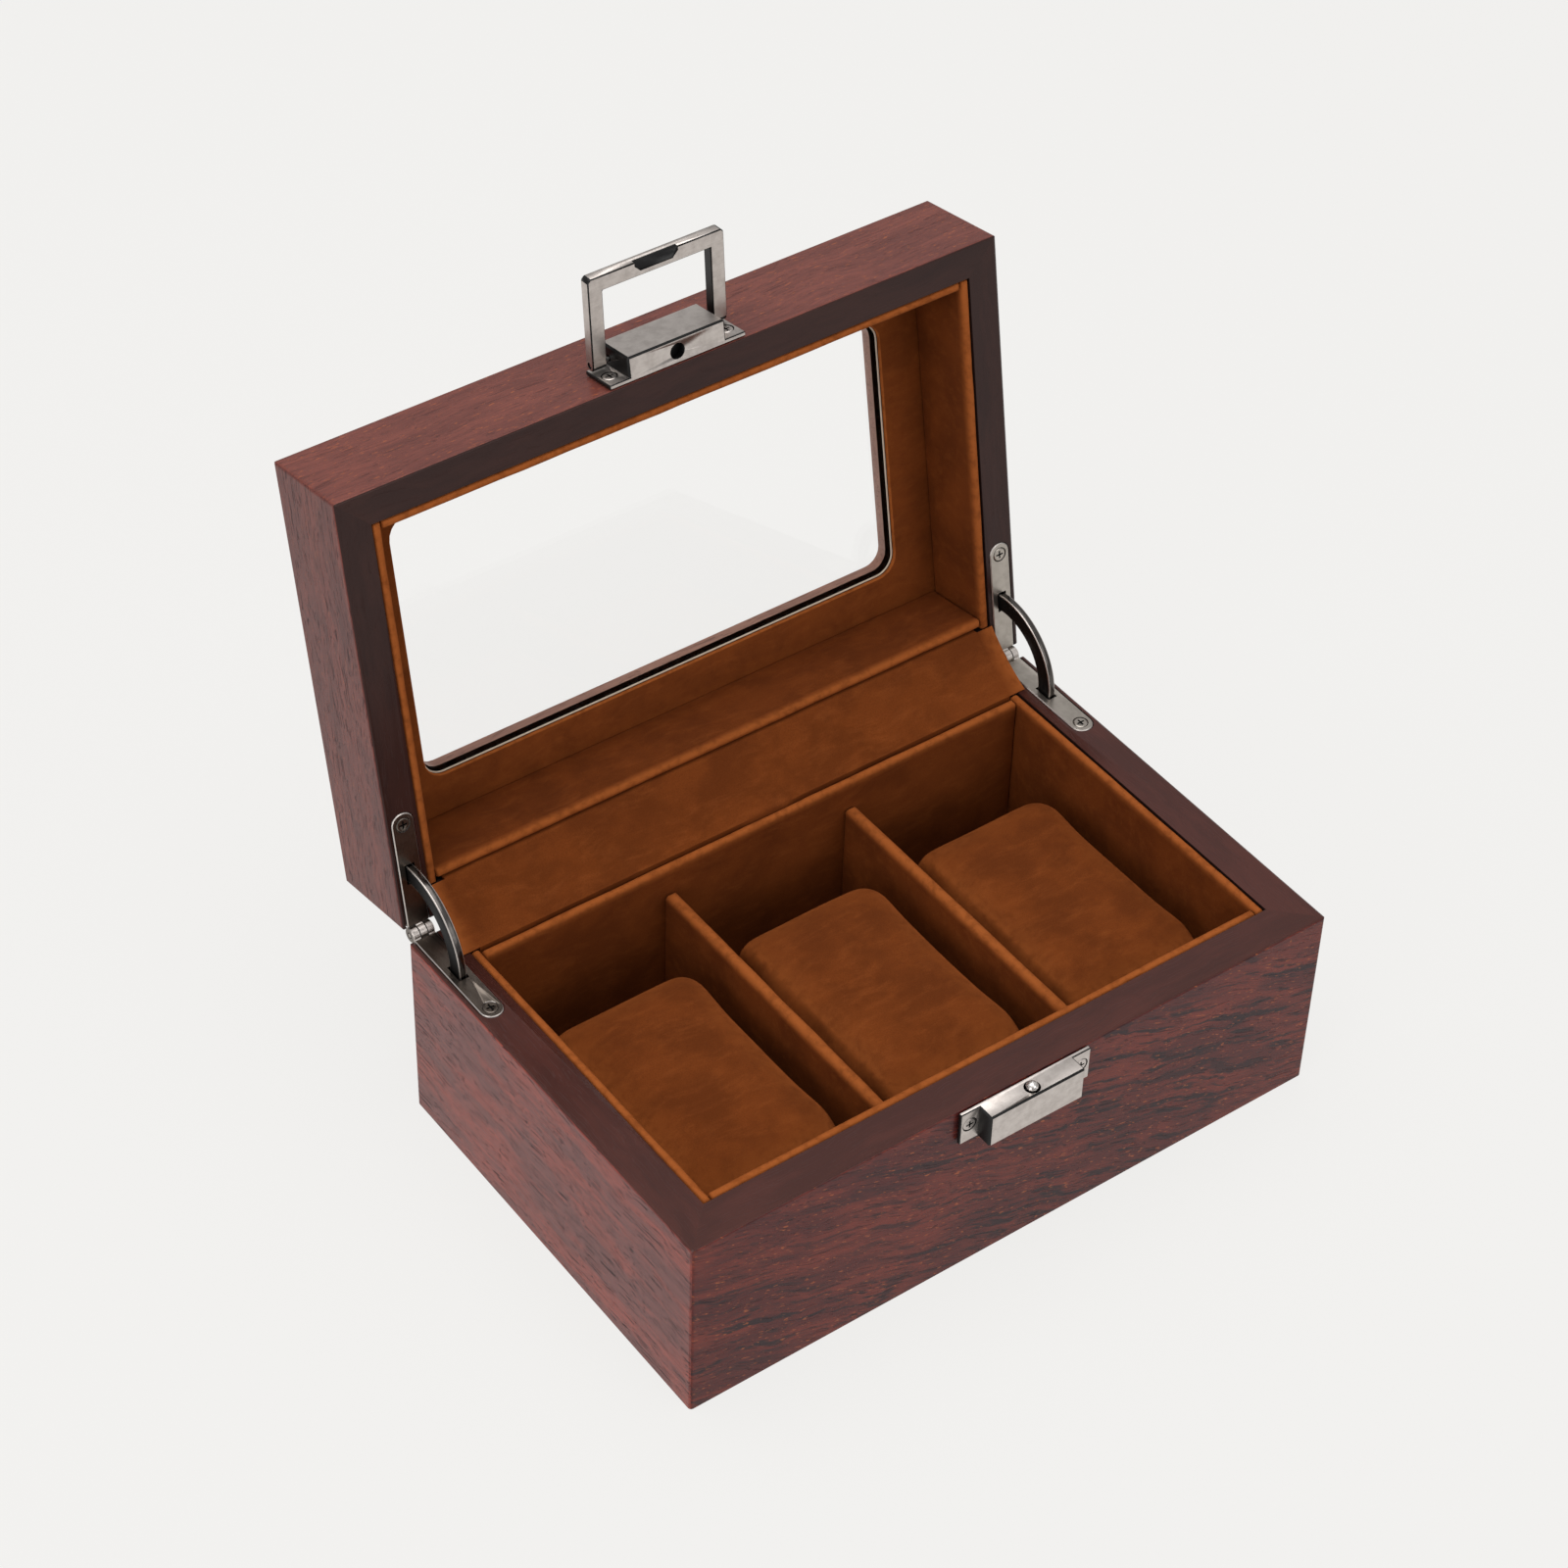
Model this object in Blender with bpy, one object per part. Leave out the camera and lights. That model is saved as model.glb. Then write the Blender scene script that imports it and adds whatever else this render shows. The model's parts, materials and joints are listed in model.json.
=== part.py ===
"""A lidded watch box: mitred veneered case, glazed lid on quadrant hinges, swing-bail clasp and
three lift-out watch cushions.  All sizes in metres, +Z up, origin at the centre of the underside.
The lid and the bail stand open at rest, which is where every joint reads zero."""

import math

import bmesh
import bpy
from mathutils import Matrix, Vector

MM = 0.001
FIT = 0.3 * MM                      # gap left between pieces that touch

# --- the case -------------------------------------------------------------------------------
WIDTH = 200 * MM
DEPTH = 126 * MM
BASE_HEIGHT = 59 * MM
LID_HEIGHT = 29 * MM
PARTING_GAP = 0.6 * MM              # between the two rims when the lid is shut
OPEN_ANGLE = math.radians(100)
BASE_WALL = 11.0 * MM
LID_WALL = 9.2 * MM
EDGE_RADIUS = 1.0 * MM
RIM_RADIUS = 0.6 * MM

# --- inside the base ------------------------------------------------------------------------
FELT = 1.0 * MM
BOTTOM_PANEL = 3.0 * MM
LINING = 2.4 * MM                   # suede wrapped card
FLOOR_CARD = 1.2 * MM
DIVIDER = 3.4 * MM
DIVIDER_DROP = 8.5 * MM             # divider tops below the base rim
CUSHION_SIDE_GAP = 4.6 * MM         # from each side of its bay
CUSHION_FRONT_GAP = 6.75 * MM       # room for a strap and fingers
CUSHION_REAR_GAP = 16.75 * MM
CUSHION_DROP = 12.5 * MM            # cushion tops below the base rim
CUSHION_ROUND = 11 * MM             # rounding of the ends that a strap wraps over
CUSHION_EDGE = 2.2 * MM             # rounding of its long sides
LINING_EDGE = 0.6 * MM

# --- the lid ----------------------------------------------------------------------------------
TOP_FRAME = 6.0 * MM
WINDOW_MARGIN = 25.0 * MM           # from the outside of the lid to the window
WINDOW_CORNER = 5.0 * MM
WINDOW_LIP = 3.5 * MM               # wood left outside the glass
GLASS = 2.0 * MM
GLASS_LAP = 5.0 * MM                # glass behind the lip all round
RETAINER = 1.2 * MM
RETAINER_SETBACK = 0.8 * MM         # its opening is this much wider than the window

# --- quadrant hinges ----------------------------------------------------------------------------
HINGE_OFFSET = 2.0 * MM             # axis behind the rear face
HINGE_INSET = 4.7 * MM              # leaf centre line from the side face
LEAF_WIDTH = 6.4 * MM
LEAF_LENGTH = 34.4 * MM             # from the rear face to the rounded end
LEAF_THICKNESS = 1.6 * MM
LEAF_PROUD = 0.2 * MM
KNUCKLE_RADIUS = 2.2 * MM
MIDDLE_KNUCKLE = 2.2 * MM
PIN_RADIUS = 0.6 * MM
LEAF_SCREW = 31.0 * MM              # from the rear face
STAY_RADIUS = 18.0 * MM
STAY_WIDTH = 5.0 * MM
STAY_THICKNESS = 2.0 * MM
STAY_CLEARANCE = 0.45 * MM
STAY_HOOK = 1.0 * MM
STAY_HOOK_START = math.radians(6.8)  # past the rim at full opening
STAY_HOOK_SPAN = math.radians(3.0)
LEAF_EDGE = 0.25 * MM
MORTISE_SIDE = 0.7 * MM             # clearance round the stay inside the boards
MORTISE_END = 1.2 * MM
MORTISE_BACK = 0.9 * MM

# --- screws -------------------------------------------------------------------------------------
SCREW_HEAD = 1.9 * MM               # radius
SCREW_SHANK = 0.9 * MM
SCREW_LENGTH = 6.0 * MM
SCREW_CONE = 0.9 * MM
SCREW_RIM = 0.15 * MM               # the head's edge below its face
SCREW_CHAMFER = 0.25 * MM
SCREW_POINT = 1.2 * MM
CROSS_LENGTH = 2.3 * MM
CROSS_WIDTH = 0.48 * MM
CROSS_DEPTH = 0.5 * MM

# --- clasp ----------------------------------------------------------------------------------------
PLATE_WIDTH = 41 * MM
PLATE_HEIGHT = 11.0 * MM
PLATE = 1.2 * MM
CLASP_SCREW_X = 17.6 * MM
CLASP_SCREW_Z = 4.6 * MM            # from the rim edge of each plate
CLASP_BLOCK_WIDTH = 29.2 * MM
CLASP_BLOCK_HEIGHT = 12.3 * MM
CLASP_BLOCK_DEPTH = 5.6 * MM
CATCH_BLOCK_WIDTH = 29.8 * MM
CATCH_BLOCK_HEIGHT = 10.4 * MM
CATCH_BLOCK_DEPTH = 4.8 * MM
PLATE_EDGE = 0.25 * MM
BLOCK_EDGE = 0.5 * MM
BALL_RADIUS = 1.7 * MM
BALL_SOCKET = 2.2 * MM              # radius of both sockets
BALL_SOCKET_DEPTH = 2.4 * MM
BAIL_WIDTH = 40.6 * MM
BAIL_LEG = 4.2 * MM
BAIL_THICKNESS = 3.2 * MM
BAIL_FOOT = 1.65 * MM
BAIL_PIVOT_HEIGHT = 9.0 * MM        # above the lid rim
BAIL_PIVOT_DEPTH = 3.6 * MM         # in front of the lid
BAIL_ANGLE = math.radians(85)       # swung out from hanging straight down
BAIL_NOTCH = 13 * MM
BAIL_NOTCH_DEPTH = 1.3 * MM
BAIL_NOTCH_HEIGHT = 2.8 * MM        # up the crossbar from its outer edge
BAIL_NOTCH_CHAMFER = 1.7 * MM
BAIL_CORNER = 0.8 * MM
BAIL_EDGE = 0.3 * MM
BAIL_PIN_RADIUS = 0.6 * MM
BAIL_PIN_SEAT = 2.0 * MM            # pin length inside the block

# --- hinge cover ------------------------------------------------------------------------------------
COVER = 0.8 * MM
COVER_TAIL = 8.0 * MM               # tucked behind the rear linings
COVER_BULGE = 0.8 * MM
COVER_STEPS = 12
COVER_EAR = 5.6 * MM                # how much wider it is between the rims than behind the linings

SPARE = 2 * MM                      # how far a cutter runs past what it cuts
SLIVER = 0.1 * MM                   # left flat at the end of a full rounding
SMOOTH = math.radians(35)           # edges flatter than this are shaded smooth

# --- worked out from the sizes above ---------------------------------------------------------------
RIM_Z = BASE_HEIGHT
LID_RIM_Z = RIM_Z + PARTING_GAP
LID_TOP_Z = LID_RIM_Z + LID_HEIGHT
AXIS_Y = DEPTH / 2 + HINGE_OFFSET
AXIS_Z = RIM_Z + PARTING_GAP / 2
HINGE_X = WIDTH / 2 - HINGE_INSET
FRONT_Y = -DEPTH / 2
PANEL_Z = FELT + FIT
LINING_Z = PANEL_Z + BOTTOM_PANEL + FIT
FLOOR_Z = LINING_Z + FLOOR_CARD + FIT
COVER_SLOT = COVER + 2 * FIT        # left behind each rear lining
INNER_X = WIDTH / 2 - BASE_WALL - FIT - LINING
INNER_FRONT = FRONT_Y + BASE_WALL + FIT + LINING
INNER_REAR = DEPTH / 2 - BASE_WALL - COVER_SLOT - LINING
LID_INNER_X = WIDTH / 2 - LID_WALL - FIT - LINING
RETAINER_Z = LID_TOP_Z - TOP_FRAME - FIT - RETAINER
PIVOT_Y = FRONT_Y - BAIL_PIVOT_DEPTH
PIVOT_Z = LID_RIM_Z + BAIL_PIVOT_HEIGHT
CATCH_BOTTOM_Z = RIM_Z - FIT - CATCH_BLOCK_HEIGHT
BAIL_CLEARANCE = 0.5 * MM           # crossbar under the catch block
BAIL_INNER = PIVOT_Z - CATCH_BOTTOM_Z + BAIL_CLEARANCE
BAIL_LENGTH = BAIL_INNER + BAIL_LEG
STAY_OUTER = STAY_RADIUS + STAY_WIDTH / 2
STAY_INNER = STAY_RADIUS - STAY_WIDTH / 2
STAY_HALF = OPEN_ANGLE / 2 + STAY_HOOK_START + STAY_HOOK_SPAN


# --- helpers ------------------------------------------------------------------------------------------

def clear_scene():
    """Removes whatever the file holds."""
    for obj in list(bpy.data.objects):
        bpy.data.objects.remove(obj, do_unlink=True)


def material(name, colour, roughness, metallic=0.0):
    """A plain Principled material."""
    mat = bpy.data.materials.new(name)
    mat.use_nodes = True
    shader = mat.node_tree.nodes["Principled BSDF"]
    shader.inputs["Base Color"].default_value = (*colour, 1.0)
    shader.inputs["Roughness"].default_value = roughness
    shader.inputs["Metallic"].default_value = metallic
    mat.diffuse_color = (*colour, 1.0)
    return mat


def empty(name, location, rotation=(0, 0, 0), parent=None):
    """An empty on a joint's axis, which moving pieces are parented to."""
    obj = bpy.data.objects.new(name, None)
    bpy.context.collection.objects.link(obj)
    obj.location = location
    obj.rotation_euler = rotation
    obj.parent = parent
    return obj


def finish(name, bm, mat, origin=(0, 0, 0), parent=None, smooth=None):
    """Makes an object of bm, whose points are in the closed case's frame, about its origin."""
    bmesh.ops.recalc_face_normals(bm, faces=bm.faces)
    bmesh.ops.translate(bm, verts=bm.verts, vec=-Vector(origin))
    mesh = bpy.data.meshes.new(name)
    bm.to_mesh(mesh)
    bm.free()
    if mat:
        mesh.materials.append(mat)
    if smooth:
        mesh.shade_smooth()
        mesh.set_sharp_from_angle(angle=smooth)
    obj = bpy.data.objects.new(name, mesh)
    bpy.context.collection.objects.link(obj)
    obj.parent = parent
    obj.location = Vector(origin) - (Vector(FRAMES[parent]) if parent else Vector())
    return obj


def cube(low, high):
    """A bmesh box between two corners."""
    bm = bmesh.new()
    bmesh.ops.create_cube(bm, size=1.0)
    size = Vector(high) - Vector(low)
    bmesh.ops.scale(bm, vec=size, verts=bm.verts)
    bmesh.ops.translate(bm, vec=(Vector(high) + Vector(low)) / 2, verts=bm.verts)
    return bm


def prism(outline, start, end, axis="Z"):
    """An outline extruded along an axis; outline points are the other two coordinates in order."""
    place = {
        "X": lambda u, v: (start, u, v),
        "Y": lambda u, v: (u, start, v),
        "Z": lambda u, v: (u, v, start),
    }[axis]
    step = {"X": (1, 0, 0), "Y": (0, 1, 0), "Z": (0, 0, 1)}[axis]
    bm = bmesh.new()
    face = bm.faces.new([bm.verts.new(place(u, v)) for u, v in outline])
    grown = bmesh.ops.extrude_face_region(bm, geom=[face])
    moved = [item for item in grown["geom"] if isinstance(item, bmesh.types.BMVert)]
    bmesh.ops.translate(bm, vec=Vector(step) * (end - start), verts=moved)
    return bm


def rod(centre, radius, length, axis, segments=20, end_radius=None):
    """A cylinder or cone from centre along +axis."""
    bm = bmesh.new()
    turn = {
        "X": Matrix.Rotation(math.pi / 2, 4, "Y"),
        "Y": Matrix.Rotation(-math.pi / 2, 4, "X"),
        "Z": Matrix.Identity(4),
    }[axis]
    shift = Matrix.Translation(Vector(centre)) @ turn @ Matrix.Translation((0, 0, length / 2))
    bmesh.ops.create_cone(
        bm, cap_ends=True, segments=segments, radius1=radius,
        radius2=radius if end_radius is None else end_radius, depth=length, matrix=shift)
    return bm


def arc(centre, radius, start, end, steps):
    """Points along an arc, both ends included."""
    angles = [start + (end - start) * i / steps for i in range(steps + 1)]
    return [(centre[0] + radius * math.cos(a), centre[1] + radius * math.sin(a)) for a in angles]


def rounded_rectangle(half_u, half_v, radius, steps, centre=(0, 0)):
    """Outline of a rectangle with round corners."""
    points = []
    for quarter, (su, sv) in enumerate(((1, 1), (-1, 1), (-1, -1), (1, -1))):
        middle = (centre[0] + su * (half_u - radius), centre[1] + sv * (half_v - radius))
        points += arc(middle, radius, quarter * math.pi / 2, (quarter + 1) * math.pi / 2, steps)
    return points


def hidden(name, bm, parent=None):
    """An object that only serves to shape others."""
    tool = finish(name, bm, None, parent=parent)
    tool.hide_render = True
    tool.display_type = "WIRE"
    return tool


def combine(obj, tool, operation):
    """A Boolean of obj and a hidden tool."""
    step = obj.modifiers.new(tool.name, "BOOLEAN")
    step.operation = operation
    step.solver = "EXACT"
    step.object = tool


def cut(obj, name, bm, parent=None):
    """Cuts obj by a hidden cutter made of bm."""
    cutter = hidden(name, bm, parent)
    combine(obj, cutter, "DIFFERENCE")
    return cutter


def bevel(obj, width, angle=40, segments=1):
    """A Bevel modifier on the sharp edges."""
    step = obj.modifiers.new("bevel", "BEVEL")
    step.width = width
    step.segments = segments
    step.limit_method = "ANGLE"
    step.angle_limit = math.radians(angle)
    step.harden_normals = False
    return step


# --- wood ---------------------------------------------------------------------------------------------

def mitred_board(name, length, depth_to, profile, turn, mat, parent=None):
    """A board whose section is profile (depth, height), mitred at both ends, turned into its side.

    depth_to is the distance from the middle of the case to the board's outer face.
    """
    bm = prism(profile, -length / 2, length / 2, "X")
    bmesh.ops.translate(bm, vec=(0, -depth_to, 0), verts=bm.verts)
    for side in (-1, 1):
        corner = Vector((side * length / 2, -depth_to, 0))
        mitre = Vector((side, 1, 0)).normalized()
        planes = [(corner - mitre * FIT / 2, mitre)]
        for lean in (math.radians(22.5), math.radians(45)):
            normal = Vector((side * math.sin(lean), -math.cos(lean), 0))
            middle = corner + Vector((-side * EDGE_RADIUS, EDGE_RADIUS, 0))
            planes.append((middle + normal * EDGE_RADIUS, normal))
        for point, normal in planes:
            geometry = bm.verts[:] + bm.edges[:] + bm.faces[:]
            result = bmesh.ops.bisect_plane(
                bm, geom=geometry, dist=1e-7, plane_co=point, plane_no=normal, clear_outer=True)
            rim = [item for item in result["geom_cut"] if isinstance(item, bmesh.types.BMEdge)]
            bmesh.ops.holes_fill(bm, edges=rim, sides=0)
    bmesh.ops.rotate(bm, cent=(0, 0, 0), matrix=Matrix.Rotation(turn, 3, "Z"), verts=bm.verts)
    return finish(name, bm, mat, parent=parent, smooth=SMOOTH)


def rounded(corner, u_side, v_side, radius, start, steps=2):
    """The rounding of a profile corner; u_side and v_side point to the inside of the profile."""
    middle = (corner[0] + u_side * radius, corner[1] + v_side * radius)
    return arc(middle, radius, start, start - math.pi / 2, steps)


def base_profile():
    """Section of a base board: depth from the outer face, and height."""
    outer_top = rounded((0, RIM_Z), 1, -1, RIM_RADIUS, math.pi)
    return [(0, 0), *outer_top, (BASE_WALL, RIM_Z), (BASE_WALL, 0)]


def lid_profile():
    """Section of a lid board, mitred to the top frame."""
    outer_rim = arc((RIM_RADIUS, LID_RIM_Z + RIM_RADIUS), RIM_RADIUS, 1.5 * math.pi, math.pi, 2)
    middle = (EDGE_RADIUS, LID_TOP_Z - EDGE_RADIUS)
    top = arc(middle, EDGE_RADIUS, math.pi, 0.75 * math.pi, 2)
    step = LID_TOP_Z - TOP_FRAME
    shift = FIT / math.sqrt(2)
    top[-1] = (top[-1][0], top[-1][1] - shift)
    return [*outer_rim, *top, (TOP_FRAME - FIT, step), (LID_WALL, step), (LID_WALL, LID_RIM_Z)]


def boards():
    """The eight mitred boards; returns them by name."""
    made = {}
    sides = (("front", WIDTH, DEPTH / 2, 0.0), ("right", DEPTH, WIDTH / 2, math.pi / 2),
             ("rear", WIDTH, DEPTH / 2, math.pi), ("left", DEPTH, WIDTH / 2, -math.pi / 2))
    for side, length, reach, turn in sides:
        name = f"base_{side}_board"
        made[name] = mitred_board(name, length, reach, base_profile(), turn, WOOD)
        name = f"lid_{side}_board"
        made[name] = mitred_board(name, length, reach, lid_profile(), turn, WOOD, LID)
    return made


def top_frame():
    """The frame round the window, with the rebate that holds the glass."""
    levels = [(TOP_FRAME, LID_TOP_Z - TOP_FRAME)]
    for lean in (45, 67.5, 90):
        angle = math.radians(lean)
        inset = EDGE_RADIUS * (1 - math.cos(angle))
        levels.append((inset, LID_TOP_Z - EDGE_RADIUS * (1 - math.sin(angle))))
    bm = bmesh.new()
    loops = []
    for inset, z in levels:
        corner = max(EDGE_RADIUS - inset, SLIVER)
        outline = rounded_rectangle(WIDTH / 2 - inset, DEPTH / 2 - inset, corner, 2)
        verts = [bm.verts.new((u, v, z)) for u, v in outline]
        loops.append([bm.edges.new((verts[i - 1], verts[i])) for i in range(len(verts))])
    for below, above in zip(loops, loops[1:]):
        bmesh.ops.bridge_loops(bm, edges=below + above)
    bmesh.ops.edgeloop_fill(bm, edges=loops[0])
    bmesh.ops.edgeloop_fill(bm, edges=loops[-1])
    frame = finish("lid_top_frame", bm, WOOD, parent=LID, smooth=SMOOTH)
    half = (WIDTH / 2 - WINDOW_MARGIN, DEPTH / 2 - WINDOW_MARGIN)
    window = rounded_rectangle(*half, WINDOW_CORNER, 5)
    cut(frame, "window_cutter", prism(window, LID_TOP_Z - 2 * TOP_FRAME, LID_TOP_Z + SPARE), LID)
    rebate = rounded_rectangle(
        half[0] + GLASS_LAP + FIT, half[1] + GLASS_LAP + FIT, WINDOW_CORNER, 3)
    floor = LID_TOP_Z - WINDOW_LIP
    cut(frame, "glass_rebate_cutter", prism(rebate, LID_TOP_Z - 2 * TOP_FRAME, floor), LID)

    pane = rounded_rectangle(half[0] + GLASS_LAP, half[1] + GLASS_LAP, WINDOW_CORNER - FIT, 3)
    bm = prism(pane, floor - FIT - GLASS, floor - FIT)
    finish("window_glass", bm, GLASS_MATERIAL, parent=LID)

    reach = (WIDTH / 2 - LID_WALL - FIT, DEPTH / 2 - LID_WALL - FIT)
    bm = cube((-reach[0], -reach[1], RETAINER_Z), (*reach, RETAINER_Z + RETAINER))
    retainer = finish("glass_retainer", bm, SUEDE, parent=LID)
    opening = rounded_rectangle(
        half[0] + RETAINER_SETBACK, half[1] + RETAINER_SETBACK, WINDOW_CORNER + RETAINER_SETBACK, 5)
    hole = prism(opening, RETAINER_Z - SPARE, RETAINER_Z + RETAINER + SPARE)
    cut(retainer, "retainer_cutter", hole, LID)


# --- linings, dividers and cushions ---------------------------------------------------------------------

def lining(name, low, high, parent=None):
    """A suede wrapped card, its rim edges softened."""
    obj = finish(name, cube(low, high), SUEDE, parent=parent)
    bevel(obj, LINING_EDGE)
    return obj


def linings():
    """The linings of the base and the lid."""
    side_x = WIDTH / 2 - BASE_WALL - FIT
    side_y = DEPTH / 2 - BASE_WALL - FIT
    for side, sign in (("left", -1), ("right", 1)):
        across = sorted((sign * side_x, sign * (side_x - LINING)))
        lining(f"base_{side}_lining", (across[0], -side_y, LINING_Z), (across[1], side_y, RIM_Z))
    between = INNER_X - FIT
    lining("base_front_lining", (-between, -side_y, LINING_Z), (between, INNER_FRONT, RIM_Z))
    lining("base_rear_lining", (-between, INNER_REAR, LINING_Z),
           (between, INNER_REAR + LINING, RIM_Z))
    lining("floor_lining", (-between, INNER_FRONT + FIT, LINING_Z),
           (between, INNER_REAR - FIT, LINING_Z + FLOOR_CARD))

    side_x = WIDTH / 2 - LID_WALL - FIT
    side_y = DEPTH / 2 - LID_WALL - FIT
    top = RETAINER_Z - FIT
    for side, sign in (("left", -1), ("right", 1)):
        across = sorted((sign * side_x, sign * (side_x - LINING)))
        lining(f"lid_{side}_lining", (across[0], -side_y, LID_RIM_Z), (across[1], side_y, top), LID)
    between = LID_INNER_X - FIT
    lining("lid_front_lining", (-between, -side_y, LID_RIM_Z),
           (between, -side_y + LINING, top), LID)
    rear = DEPTH / 2 - LID_WALL - COVER_SLOT
    lining("lid_rear_lining", (-between, rear - LINING, LID_RIM_Z), (between, rear, top), LID)


def bottom():
    """The bottom panel and the felt under it."""
    reach = (WIDTH / 2 - BASE_WALL - FIT, DEPTH / 2 - BASE_WALL - FIT)
    bm = cube((-reach[0], -reach[1], PANEL_Z), (*reach, PANEL_Z + BOTTOM_PANEL))
    finish("bottom_panel", bm, WOOD)
    bm = cube((-reach[0], -reach[1], 0), (*reach, FELT))
    finish("underside_felt", bm, FELT_MATERIAL)


def dividers_and_cushions():
    """Two dividers share the width evenly, and a cushion stands in each of the three bays."""
    bay = (2 * INNER_X - 2 * DIVIDER) / 3
    for side, sign in (("left", -1), ("right", 1)):
        middle = sign * (bay + DIVIDER) / 2
        lining(f"divider_{side}", (middle - DIVIDER / 2, INNER_FRONT + FIT, FLOOR_Z),
               (middle + DIVIDER / 2, INNER_REAR - FIT, RIM_Z - DIVIDER_DROP))
    for side, sign in (("left", -1), ("centre", 0), ("right", 1)):
        cushion(f"cushion_{side}", sign * (bay + DIVIDER), bay / 2 - CUSHION_SIDE_GAP)


def cushion(name, x, half_width):
    """A watch cushion: a block with round ends and soft corners."""
    front, rear = INNER_FRONT + CUSHION_FRONT_GAP, INNER_REAR - CUSHION_REAR_GAP
    y = (front + rear) / 2
    top = RIM_Z - CUSHION_DROP
    section = rounded_rectangle(
        (rear - front) / 2, (top - FLOOR_Z) / 2, CUSHION_ROUND, 4, (y, (top + FLOOR_Z) / 2))
    bm = prism(section, x - half_width, x + half_width, "X")
    obj = finish(name, bm, SUEDE, origin=(x, y, FLOOR_Z), smooth=SMOOTH)
    bevel(obj, CUSHION_EDGE, 60, 2)
    return obj


# --- screws ---------------------------------------------------------------------------------------------

def turned(section, head, direction):
    """A section of radius and height pairs spun round, then set to run in from head."""
    bm = bmesh.new()
    verts = [bm.verts.new((radius, 0, z)) for radius, z in section]
    edges = [bm.edges.new(pair) for pair in zip(verts, verts[1:])]
    bmesh.ops.spin(bm, geom=verts + edges, cent=(0, 0, 0), axis=(0, 0, 1), dvec=(0, 0, 0),
                   angle=2 * math.pi, steps=16, use_merge=True)
    bmesh.ops.remove_doubles(bm, verts=bm.verts, dist=1e-6)
    aim(bm, head, direction)
    return bm


def aim(bm, head, direction):
    """Turns what points down -Z to point along direction, and moves it to head."""
    turn = Vector((0, 0, -1)).rotation_difference(Vector(direction)).to_matrix()
    bmesh.ops.rotate(bm, cent=(0, 0, 0), matrix=turn, verts=bm.verts)
    bmesh.ops.translate(bm, vec=head, verts=bm.verts)


def screw(name, mat, parent, head, direction):
    """A countersunk screw with a cross recess; head is the middle of its face, direction its way in."""
    section = [
        (0, 0), (SCREW_HEAD - SCREW_CHAMFER, 0), (SCREW_HEAD, -SCREW_RIM),
        (SCREW_SHANK, -SCREW_CONE), (SCREW_SHANK, SCREW_POINT - SCREW_LENGTH), (0, -SCREW_LENGTH)]
    obj = finish(name, turned(section, head, direction), mat, parent=parent, smooth=SMOOTH)
    long, wide = CROSS_LENGTH / 2, CROSS_WIDTH / 2
    for index, (half_x, half_y) in enumerate(((long, wide), (wide, long))):
        bm = cube((-half_x, -half_y, -CROSS_DEPTH), (half_x, half_y, SPARE))
        aim(bm, head, direction)
        cut(obj, f"{name}_cross_{index}_cutter", bm, parent)


def countersink(head, direction):
    """The seat that a screw needs, with its clearance."""
    section = [
        (0, SPARE), (SCREW_HEAD + FIT, SPARE), (SCREW_HEAD + FIT, -SCREW_RIM - FIT),
        (SCREW_SHANK + FIT, -SCREW_CONE - FIT), (SCREW_SHANK + FIT, -SCREW_LENGTH - FIT),
        (0, -SCREW_LENGTH - FIT)]
    return turned(section, head, direction)


# --- quadrant hinges --------------------------------------------------------------------------------------

def leaf_profile(up):
    """Section of a leaf through its knuckle, in Y and Z; up is 1 for the lid's, -1 for the base's."""
    front = DEPTH / 2 - LEAF_LENGTH
    face = AXIS_Z + up * (PARTING_GAP / 2 - LEAF_PROUD)
    back = face + up * LEAF_THICKNESS
    near = math.asin((face - AXIS_Z) / KNUCKLE_RADIUS)
    far = math.asin((back - AXIS_Z) / KNUCKLE_RADIUS)
    start = math.pi - near
    sweep = 2 * math.pi - abs(far - near)
    wrap = arc((AXIS_Y, AXIS_Z), KNUCKLE_RADIUS, start, start + up * sweep, 18)
    return [(front, back), (front, face), *wrap]


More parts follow.
